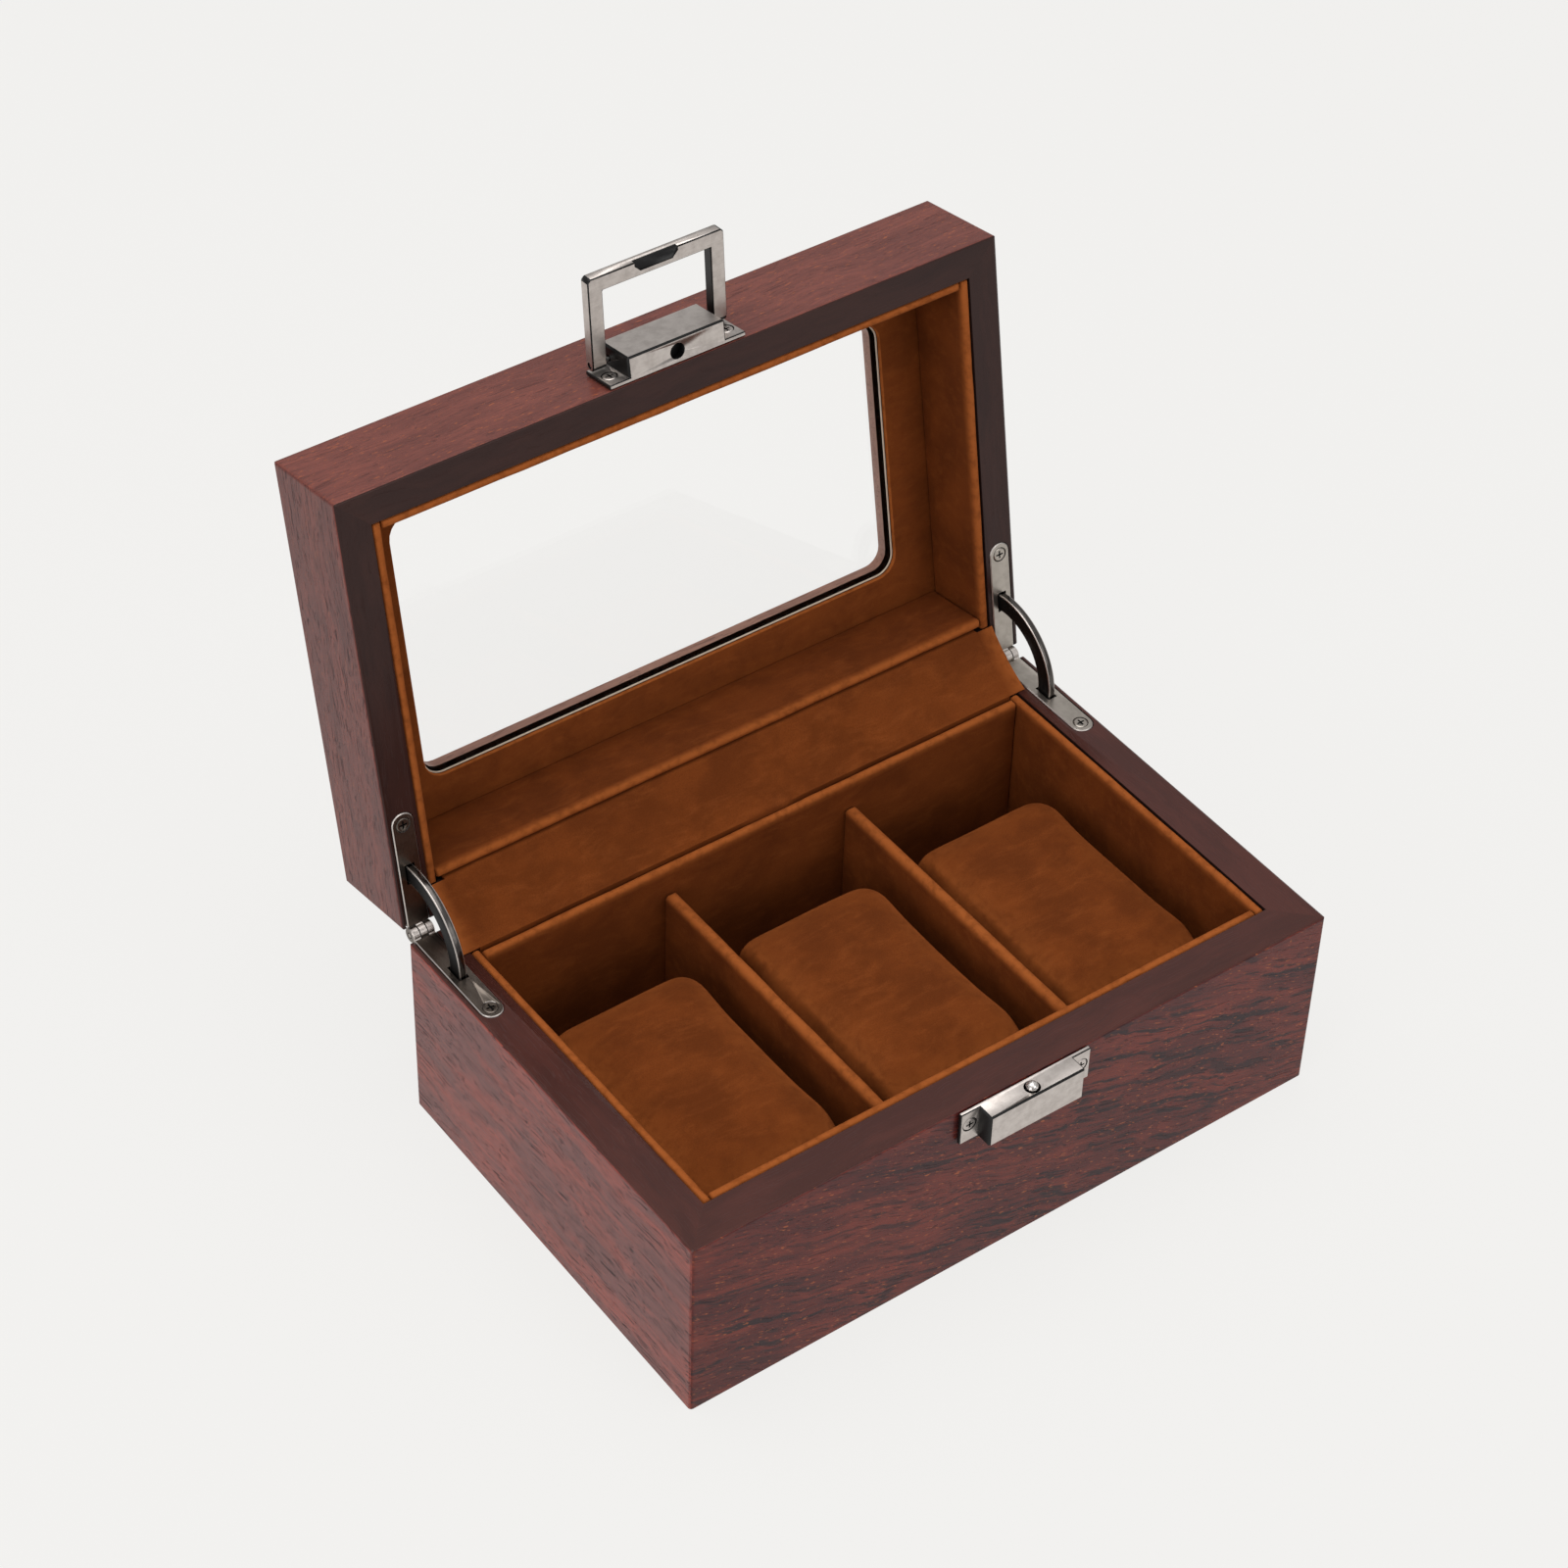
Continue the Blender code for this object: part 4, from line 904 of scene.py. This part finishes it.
def soft_slab(low: Vector, high: Vector, edge: float, steps: float,
              crown: float = 0.0, crown_top: bool = True) -> BMesh:
    """A slab with softened edges, cut into a net fine enough to ripple.

    Args:
        low: its lowest corner.
        high: its highest corner.
        edge: rounding of its edges.
        steps: size of the net.
        crown: a larger rounding for the edges round one end of its height, or 0 for none.
        crown_top: whether that is its top, and not its bottom.

    Returns:
        The slab.
    """
    bm = bmesh.new()
    bmesh.ops.create_cube(bm, size=1.0)
    size, middle = high - low, (high + low) / 2
    bmesh.ops.scale(bm, vec=size, verts=bm.verts)
    bmesh.ops.translate(bm, vec=middle, verts=bm.verts)
    level = high.z if crown_top else low.z

    if crown > 0:
        rim = [e for e in bm.edges if all(abs(v.co.z - level) < SAME for v in e.verts)]
        round_off(bm, rim, crown, 5)
        round_off(bm, steep_edges(bm), edge, 2)
    else:
        round_off(bm, bm.edges[:], edge, 3)
    for axis in range(3):
        count = int(size[axis] / steps)
        for i in range(1, count + 1):
            point, normal = low.copy(), Vector((0, 0, 0))
            point[axis] += size[axis] * i / (count + 1)
            normal[axis] = 1
            cut(bm, point, normal)
    return bm


def ripple(bm: BMesh, reach: float, scale: float, seed: int) -> None:
    """Pushes a mesh gently in and out, as hand-wrapped covering lies.

    Args:
        bm: the mesh.
        reach: how far a point may move.
        scale: bends per millimetre.
        seed: which pattern.
    """
    bm.normal_update()
    moves = []
    for vert in bm.verts:
        place = vert.co / MM * scale + Vector((seed * 7.3, seed * 1.7, seed * 3.1))
        moves.append(vert.normal * reach * noise.noise(place))
    for vert, move in zip(bm.verts, moves):
        vert.co += move


def rub(bm: BMesh, share: Callable[[BMVert], float]) -> None:
    """Stores how strongly the nap is painted lit at each point, as a painted highlight.

    Args:
        bm: the mesh.
        share: gives 0 to 1 for a point.
    """
    bm.normal_update()
    layer = bm.verts.layers.float.get(PAINTED_HIGHLIGHT) or bm.verts.layers.float.new(PAINTED_HIGHLIGHT)
    for vert in bm.verts:
        vert[layer] = max(0.0, min(1.0, share(vert)))


@dataclass
class Upholstery:
    """Suede wrapped linings, dividers, floor, window retainer and the cover over the hinge."""

    net: float = 7.0 * MM
    roll: float = 1.12 * MM
    edge: float = 0.45 * MM
    card_edge: float = 0.4 * MM
    divider_roll: float = 1.4
    # how far the painted highlight reaches from a rim
    rub_depth: float = 2.6 * MM
    unevenness: float = 0.16 * MM
    floor_ripple: float = 0.08 * MM
    cover_ripple: float = 0.12 * MM
    cover_thickness: float = 0.8 * MM
    cover_tail: float = 8.0 * MM
    cover_bulge: float = 0.8 * MM
    cover_steps: int = 26
    cover_columns: int = 36
    gap: float = 0.3 * MM
    bead: float = 0.35 * MM
    bead_corner: float = 5.8 * MM
    frame_margin: float = 5 * MM

    def build(self) -> None:
        """Builds and dresses every lining."""
        for number, side in enumerate(Side):
            self.lining(f"base_{side.label}_lining", SUEDE, True, number)
            self.lining(f"lid_{side.label}_lining", LID_SUEDE, False, number + 4)
        for number, name in enumerate(("divider_left", "divider_right")):
            self.lining(name, SUEDE, True, number + 8, self.roll * self.divider_roll)
        self.floor()
        self.retainer()
        self.window_bead()
        self.hinge_cover()

    def lining(self, node: str, finish: NapFinish, rim_up: bool, seed: int,
               roll: float = 0.0) -> None:
        """One wrapped card with a rolled rim.

        Args:
            node: the CAD node it stands for.
            finish: its suede.
            rim_up: whether its rim is its top when the lid is shut.
            seed: which unevenness.
            roll: rounding of the rim, or 0 for the usual one.
        """
        low, high = node_box(node)
        bm = soft_slab(low, high, self.edge, self.net, roll or self.roll, rim_up)
        level = high.z if rim_up else low.z
        depth = self.rub_depth if rim_up else -self.rub_depth
        # painted highlight: the nap painted lit at the rolled rim, fading out over a set depth
        cut(bm, (0, 0, level - depth), (0, 0, 1))
        rub(bm, lambda vert: 1 - abs(vert.co.z - level) / self.rub_depth)
        ripple(bm, self.unevenness, 0.09, seed)
        name = node.replace("lining", "suede") if "lining" in node else f"{node}_suede"
        publish(name, bm, (finish,), node, sharp=STEEP)

    def floor(self) -> None:
        """The suede floor under the cushions."""
        bm = soft_slab(*node_box("floor_lining"), self.card_edge, self.net)
        rub(bm, lambda vert: 0.0)
        ripple(bm, self.floor_ripple, 0.07, 21)
        publish("floor_suede", bm, (SUEDE,), "floor_lining", sharp=STEEP)

    def retainer(self) -> None:
        """The suede faced frame that holds the glass in."""
        bm = node_mesh("glass_retainer")
        face = node_box("glass_retainer")[0].z + 0.05 * MM
        round_off(bm, steep_edges(bm), self.card_edge, 3)
        # painted highlight: the nap painted fully lit everywhere but the flat inner face, which
        # keeps a little
        rub(bm, lambda vert: (1.0 if vert.co.z > face else 0.15))
        publish("retainer_suede", bm, (LID_SUEDE,), "glass_retainer", sharp=STEEP)

    def hinge_cover(self) -> None:
        """The suede strip that bridges the two rear linings, bent to the open lid."""
        hinge = Vector(LID_TURN.hinge)
        middle = self.cover_thickness / 2
        start = Vector((0, node_box("base_rear_lining")[1].y + self.gap + middle, hinge.z))
        lid_line = node_box("lid_rear_lining")[1].y + self.gap + middle
        end = LID_TURN.to_rest @ Vector((0, lid_line, hinge.z))
        run = end - start
        outward = Vector((0, run.z, -run.y)).normalized()
        path = [start.lerp(end, i / self.cover_steps)
                + outward * self.cover_bulge * math.sin(math.pi * i / self.cover_steps)
                for i in range(self.cover_steps + 1)]
        half = node_box("hinge_cover")[1].x - middle
        bm = bmesh.new()
        verts = [bm.verts.new((-half, p.y, p.z)) for p in path]
        edges = [bm.edges.new(pair) for pair in zip(verts, verts[1:])]
        for _ in range(self.cover_columns):
            edges = draw_out(bm, edges, Vector((2 * half / self.cover_columns, 0, 0)))
        narrow = node_box("base_rear_lining")[1].x
        for place in (-narrow, narrow):
            cut(bm, (place, 0, 0), (1, 0, 0))
        reach = self.cover_tail - middle
        drop = Vector((0, 0, -reach))
        lift = LID_TURN.to_rest.to_3x3() @ Vector((0, 0, reach))
        for line, way in ((start, drop), (end, lift)):
            rim = [e for e in bm.edges if e.is_boundary and all(
                abs(v.co.y - line.y) + abs(v.co.z - line.z) < SAME
                and abs(v.co.x) < narrow + SAME for v in e.verts)]
            draw_out(bm, rim, way)
        bmesh.ops.recalc_face_normals(bm, faces=bm.faces)
        ripple(bm, self.cover_ripple, 0.08, 17)
        # painted highlight: the nap painted lit over a set stretch at each end of the strip
        rub(bm, lambda vert: (abs(vert.co.x) - half) / self.rub_depth + 1)
        thicken(bm, self.cover_thickness)
        obj = publish("hinge_cover_suede", bm, (SUEDE,), "hinge_cover", None, STEEP)
        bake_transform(obj)

    def window_bead(self) -> None:
        """The fine pale bead between the glass and the retainer."""
        high = node_box("glass_retainer")[1]
        window = self.opening("glass_retainer", high)
        bm = bmesh.new()
        bmesh.ops.create_grid(bm, x_segments=1, y_segments=1, size=1.0)
        bmesh.ops.scale(bm, vec=(window[0], window[1], 1), verts=bm.verts)
        round_off(bm, bm.verts[:], self.bead_corner, 8, "VERTICES")
        bmesh.ops.translate(bm, vec=(0, 0, high.z), verts=bm.verts)
        inner = bm.faces[:]
        bmesh.ops.inset_region(bm, faces=inner, thickness=self.bead, use_even_offset=True,
                               use_boundary=True)
        bmesh.ops.delete(bm, geom=inner, context="FACES")
        bmesh.ops.recalc_face_normals(bm, faces=bm.faces)
        thicken(bm, -self.gap)
        publish("window_bead", bm, (BEAD,), body="lid")

    def opening(self, node: str, high: Vector) -> list[float]:
        """Half the width and depth of the opening in a frame-shaped node.

        Args:
            node: the CAD node's name.
            high: its highest corner.

        Returns:
            The two half sizes.
        """
        bm = node_mesh(node)
        inside = [v.co.copy() for v in bm.verts if abs(v.co.x) < high.x - self.frame_margin
                  and abs(v.co.y) < high.y - self.frame_margin]
        bm.free()
        return [max(abs(point[axis]) for point in inside) for axis in (0, 1)]


@dataclass
class Cushions:
    """Three lift-out watch cushions, blown up once in cloth and set in each bay."""

    voxel: float = 2.6 * MM
    shrink: float = 0.975
    end_round: float = 10.0 * MM
    side_round: float = 5.0 * MM
    pressure: float = 4.0
    frames: int = 20
    cap: float = 0.9 * MM
    fill: float = 0.85
    unevenness: float = 0.25 * MM
    # strength of the painted highlight on the cushion edges
    edge_rub: float = 2.6

    def build(self) -> None:
        """Builds the three cushions."""
        shape = self.blank(*node_box("cushion_centre"))
        shape = self.inflate(shape)
        for seed, side in enumerate(("left", "centre", "right")):
            self.cushion(side, shape, seed)
        bpy.data.meshes.remove(shape)

    def blank(self, low: Vector, high: Vector) -> Mesh:
        """The rounded block that the cushion is blown up from, about its own middle.

        Args:
            low: lowest corner of the space it fills.
            high: highest corner of that space.

        Returns:
            Its remeshed mesh.
        """
        size = (high - low) * self.shrink
        bm = bmesh.new()
        bmesh.ops.create_cube(bm, size=1.0)
        bmesh.ops.scale(bm, vec=size, verts=bm.verts)
        ends = [e for e in bm.edges if abs(e.verts[0].co.x - e.verts[1].co.x) > size.x / 2]
        round_off(bm, ends, self.end_round, 6)
        round_off(bm, steep_edges(bm), self.side_round, 4)
        mesh = bpy.data.meshes.new("cushion_blank")
        bm.to_mesh(mesh)
        bm.free()
        obj = placed("cushion_blank", mesh)
        remesh = obj.modifiers.new("even_net", "REMESH")
        remesh.mode, remesh.voxel_size = "VOXEL", self.voxel
        return self.settle(obj)

    def settle(self, obj: Object) -> Mesh:
        """Applies a working object's modifiers, keeps the mesh and removes the object."""
        graph = bpy.context.evaluated_depsgraph_get()
        mesh = bpy.data.meshes.new_from_object(obj.evaluated_get(graph), depsgraph=graph)
        old = obj.data
        bpy.data.objects.remove(obj)
        bpy.data.meshes.remove(old)
        return mesh

    def inflate(self, mesh: Mesh) -> Mesh:
        """Blows the blank up as cloth and caps how far each point moves.

        Args:
            mesh: the blank, removed here.

        Returns:
            The blown up mesh.
        """
        rest = [vert.co.copy() for vert in mesh.vertices]
        obj = placed("cushion_cloth", mesh)
        cloth = obj.modifiers.new("cloth", "CLOTH")
        cloth.settings.use_pressure = True
        cloth.settings.uniform_pressure_force = self.pressure
        cloth.settings.effector_weights.gravity = 0.0
        cloth.point_cache.frame_start = 1
        cloth.point_cache.frame_end = self.frames
        for step in range(1, self.frames + 1):
            bpy.context.scene.frame_set(step)
        blown = self.settle(obj)
        bpy.context.scene.frame_set(1)
        for vert, start in zip(blown.vertices, rest):
            move = vert.co - start
            if move.length > self.cap:
                vert.co = start + move.normalized() * self.cap
        return blown

    def cushion(self, side: str, shape: Mesh, seed: int) -> None:
        """One cushion in its bay.

        Args:
            side: left, centre or right.
            shape: the shared mesh, about its own middle.
            seed: which unevenness.
        """
        node = f"cushion_{side}"
        low, high = node_box(node)
        middle, half = (low + high) / 2, (high - low) / 2
        bm = bmesh.new()
        bm.from_mesh(shape)
        bmesh.ops.smooth_vert(bm, verts=bm.verts, factor=0.5, use_axis_x=True, use_axis_y=True,
                              use_axis_z=True)
        reach = [max(abs(v.co[axis]) for v in bm.verts) for axis in range(3)]
        bmesh.ops.scale(bm, vec=[half[axis] / reach[axis] for axis in range(3)], verts=bm.verts)
        bmesh.ops.translate(bm, vec=middle, verts=bm.verts)
        ripple(bm, self.unevenness, 0.05, seed + 40)
        for vert in bm.verts:
            vert.co.z = max(vert.co.z, low.z)
        # painted highlight on the rounded edges: nap painted lit as the surface turns away from the
        # axes
        rub(bm, lambda vert: (1 - max(abs(c) for c in vert.normal)) * self.edge_rub)
        obj = publish(f"{node}_suede", bm, (SUEDE,), node, sharp=math.pi)
        smooth = obj.modifiers.new("smooth", "SUBSURF")
        smooth.levels = smooth.render_levels = 1


# --- hardware and glass ---------------------------------------------------------------------


class Tone(Enum):
    """Which finish a face of the metalwork takes, by its place in the list of materials; DARK is
    painted shade.
    """

    BRIGHT = 0
    DARK = 1


@dataclass
class Hardware:
    """Hinges, stays, clasp, catch, bail and their screws."""

    aligned: float = 0.985
    socket: float = 2.6 * MM
    notch: float = 40 * MM * MM
    sunk: float = 0.4 * MM
    cross: float = 1.35 * MM
    stay_width: float = 5.0 * MM
    stay_steps: int = 72
    stay_edge: float = 0.3 * MM

    def build(self) -> None:
        """Builds and dresses the metalwork."""
        for node in ("catch_plate", "clasp_plate", "bail"):
            self.casting(node)
        for name, node in frame["nodes"].items():
            if "screw" in name:
                self.screw(name, self.leaf_finish(name) if "leaf" in name else NICKEL)
            elif name.startswith(("bail_pin", "catch_ball")):
                dress(node, POLISHED)
            elif "hinge_pin" in name:
                dress(node, STEEL)
            elif "leaf" in name:
                self.leaf(name)
        for side in ("left", "right"):
            self.stay(side)

    def leaf_finish(self, node: str) -> MetalFinish:
        """The satin steel of a hinge, painted darker on the left one as shade."""
        return SHADED_STEEL if "left" in node else STEEL

    def directions(self, bm: BMesh) -> list[Vector]:
        """The three directions a casting is squared to.

        Args:
            bm: the casting.

        Returns:
            The width, then the way its largest face looks, then the third.
        """
        across = Vector((1, 0, 0))
        broad = max((f for f in bm.faces if abs(f.normal.x) < 0.1), key=lambda f: f.calc_area())
        return [across, broad.normal.copy(), across.cross(broad.normal)]

    def casting(self, node: str) -> None:
        """A plated casting: brushed faces, with painted shade on its chamfers, ends and recesses in
        place of their dark reflections and shadow.

        Args:
            node: the CAD node it stands for.
        """
        bm = node_mesh(node)
        ways = self.directions(bm)
        half = max(abs(v.co.x) for v in bm.verts)
        for face in bm.faces:
            centre = face.calc_center_median()
            fit = [abs(face.normal.dot(way)) for way in ways]
            square = max(fit) > self.aligned
            # painted shade and dark reflection: slanted chamfers, most end faces and the small
            # faces round the socket go dark
            if not square:
                tone = Tone.DARK
            elif fit[0] > self.aligned:
                outer = node == "bail" and abs(centre.x) > half - self.sunk
                tone = Tone.BRIGHT if outer else Tone.DARK
            elif abs(centre.x) < self.socket and face.calc_area() < self.notch:
                tone = Tone.DARK
            else:
                tone = Tone.BRIGHT
            face.material_index = tone.value
        publish(f"{node}_plated", bm, (NICKEL, PAINTED_SHADE_METAL), node)

    def screw(self, node: str, finish: MetalFinish) -> None:
        """A screw with painted shade in its cross recess.

        Args:
            node: the CAD node it stands for.
            finish: the finish of its head and shank.
        """
        bm = node_mesh(node)
        low, high = node_box(node)
        size = high - low
        axis = max(range(3), key=lambda index: size[index])
        middle = (low + high) / 2
        wide = [abs(v.co[(axis + 1) % 3] - middle[(axis + 1) % 3]) for v in bm.verts]
        head_up = max(zip(wide, (v.co[axis] for v in bm.verts)))[1] > middle[axis]
        top = high[axis] if head_up else low[axis]
        for face in bm.faces:
            centre = face.calc_center_median()
            out = centre - middle
            out[axis] = 0
            depth = abs(centre[axis] - top)
            inside = out.length < self.cross and depth < 2 * self.sunk
            flush = abs(face.normal[axis]) > self.aligned and depth < 0.05 * MM
            # painted shade: the faces inside the cross recess go dark
            face.material_index = (Tone.DARK if inside and not flush else Tone.BRIGHT).value
        publish(f"{node}_crosshead", bm, (finish, PAINTED_SHADE_METAL), node)

    def leaf(self, node: str) -> None:
        """A hinge leaf: satin faces, with brighter nickel on the bevels and knuckles as a painted
        highlight.

        Args:
            node: the CAD node it stands for.
        """
        bm = node_mesh(node)
        for face in bm.faces:
            # painted highlight: every face off the three axes takes the brighter nickel
            square = max(abs(part) for part in face.normal) > self.aligned
            face.material_index = 0 if square else 1
        publish(f"{node}_inlaid", bm, (self.leaf_finish(node), NICKEL), node)

    def stay(self, side: str) -> None:
        """A curved stay swept round the hinge line: blacked sides and a bright outer edge.

        Args:
            side: left or right.
        """
        node = f"stay_{side}"
        source = node_mesh(node)
        hinge = Vector(LID_TURN.hinge)
        spokes = [v.co - hinge for v in source.verts]
        source.free()
        angles = sorted(math.atan2(s.z, s.y) % (2 * math.pi) for s in spokes)
        outer = max(math.hypot(s.y, s.z) for s in spokes)
        low, high = node_box(node)
        first = Vector((0, math.cos(angles[0]), math.sin(angles[0])))
        bm = bmesh.new()
        inner = outer - self.stay_width
        corners = [(low.x, inner), (high.x, inner), (high.x, outer), (low.x, outer)]
        verts = [bm.verts.new(Vector((x, hinge.y, hinge.z)) + first * r) for x, r in corners]
        bm.faces.new(verts)
        bmesh.ops.spin(bm, geom=bm.faces[:], cent=hinge, axis=(1, 0, 0), dvec=(0, 0, 0),
                       angle=angles[-1] - angles[0], steps=self.stay_steps, use_duplicate=False)
        bmesh.ops.remove_doubles(bm, verts=bm.verts, dist=0.001 * MM)
        bmesh.ops.recalc_face_normals(bm, faces=bm.faces)
        round_off(bm, steep_edges(bm), self.stay_edge, 2)
        for face in bm.faces:
            away = face.calc_center_median() - hinge
            away.x = 0
            along = away.normalized().dot(face.normal)
            face.material_index = 1 if 0.3 < abs(along) < 0.95 else 2 if along > 0.6 else 0
        publish(f"{node}_arc", bm, (BLACK_STEEL, NICKEL, DARK_EDGE), node)


@dataclass
class Window:
    """The pane in the lid."""

    finish: GlassFinish = GlassFinish()


    def build(self) -> None:
        """Dresses the pane."""
        dress(frame["nodes"]["window_glass"], self.finish)


# --- studio ---------------------------------------------------------------------------------


@dataclass
class Studio:
    """Pale floor, soft lights and the camera."""

    floor_size: float = 6.0
    lens: float = 91.9
    place: tuple[float, float, float] = (-0.46158, -0.57073, 0.7799)
    right: tuple[float, float, float] = (0.80974, -0.58632, 0.02337)
    up: tuple[float, float, float] = (0.38196, 0.5569, 0.73754)
    back: tuple[float, float, float] = (-0.44545, -0.58829, 0.6749)
    world_strength: float = 0.62

    def build(self) -> None:
        """Sets the studio up."""
        self.floor()
        self.world()
        self.light("overhead_softbox", (-0.15, 0.05, 1.5), (0.0, 0.0, 0.05), 1.4, 14.0)
        self.light("left_softbox", (-1.6, -0.5, 0.7), (0.0, 0.0, 0.08), 1.0, 7.0)
        self.light("front_softbox", (0.5, -1.7, 0.9), (0.0, 0.0, 0.08), 1.0, 5.0)
        self.camera()

    def floor(self) -> None:
        """The plain floor."""
        bm = bmesh.new()
        bmesh.ops.create_grid(bm, x_segments=2, y_segments=2, size=self.floor_size / 2)
        mesh = bpy.data.meshes.new("studio_floor")
        bm.to_mesh(mesh)
        bm.free()
        material, graph, shader = new_material("studio_floor")
        graph.feed_all(shader, {
            "Base Color": (0.07, 0.0696, 0.0687, 1.0), "Roughness": 0.9,
            "Specular IOR Level": 0.0, "Emission Color": srgb(242, 241, 239),
            "Emission Strength": 0.907})
        mesh.materials.append(material)
        placed("studio_floor", mesh)

    def world(self) -> None:
        """Even surroundings, a little darker near the horizon."""
        world = bpy.data.worlds.new("studio")
        world.use_nodes = True
        graph = Graph(world.node_tree)
        sky = world.node_tree.nodes["Background"]
        direction = graph.node("ShaderNodeTexCoord").outputs["Generated"]
        height = graph.node("ShaderNodeSeparateXYZ", {0: direction}).outputs[2]
        tone = graph.remap(height, 0.0, 0.55, 0.45, 1.0)
        graph.feed(sky.inputs["Color"], graph.mix(tone, (0.1, 0.1, 0.1, 1), (1, 1, 1, 1)))
        sky.inputs["Strength"].default_value = self.world_strength
        bpy.context.scene.world = world
        bpy.context.scene.view_settings.view_transform = "Standard"

    def light(self, name: str, place: Sequence[float], target: Sequence[float], size: float,
              power: float) -> None:
        """One soft area light.

        Args:
            name: its name.
            place: where it stands.
            target: what it faces.
            size: its width.
            power: its power in watts.
        """
        data = bpy.data.lights.new(name, "AREA")
        data.size, data.energy = size, power
        aim = Vector(target) - Vector(place)
        placed(name, data).matrix_world = (Matrix.Translation(Vector(place))
                                           @ aim.to_track_quat("-Z", "Y").to_matrix().to_4x4())

    def camera(self) -> None:
        """The camera, in front, to the left and above."""
        data = bpy.data.cameras.new("camera")
        data.lens, data.sensor_width = self.lens, 36.0
        data.clip_start = 0.05
        camera = placed("camera", data)
        turn = Matrix((self.right, self.up, self.back)).transposed().to_4x4()
        camera.matrix_world = Matrix.Translation(Vector(self.place)) @ turn
        bpy.context.scene.camera = camera


def main() -> None:
    logging.basicConfig(level=logging.INFO, format="%(name)s: %(message)s")
    for part in (Case(), Upholstery(), Cushions(), Hardware(), Window(), Studio()):
        part.build()
        log.info("built %s", type(part).__name__)


if __name__ == "__main__":
    main()
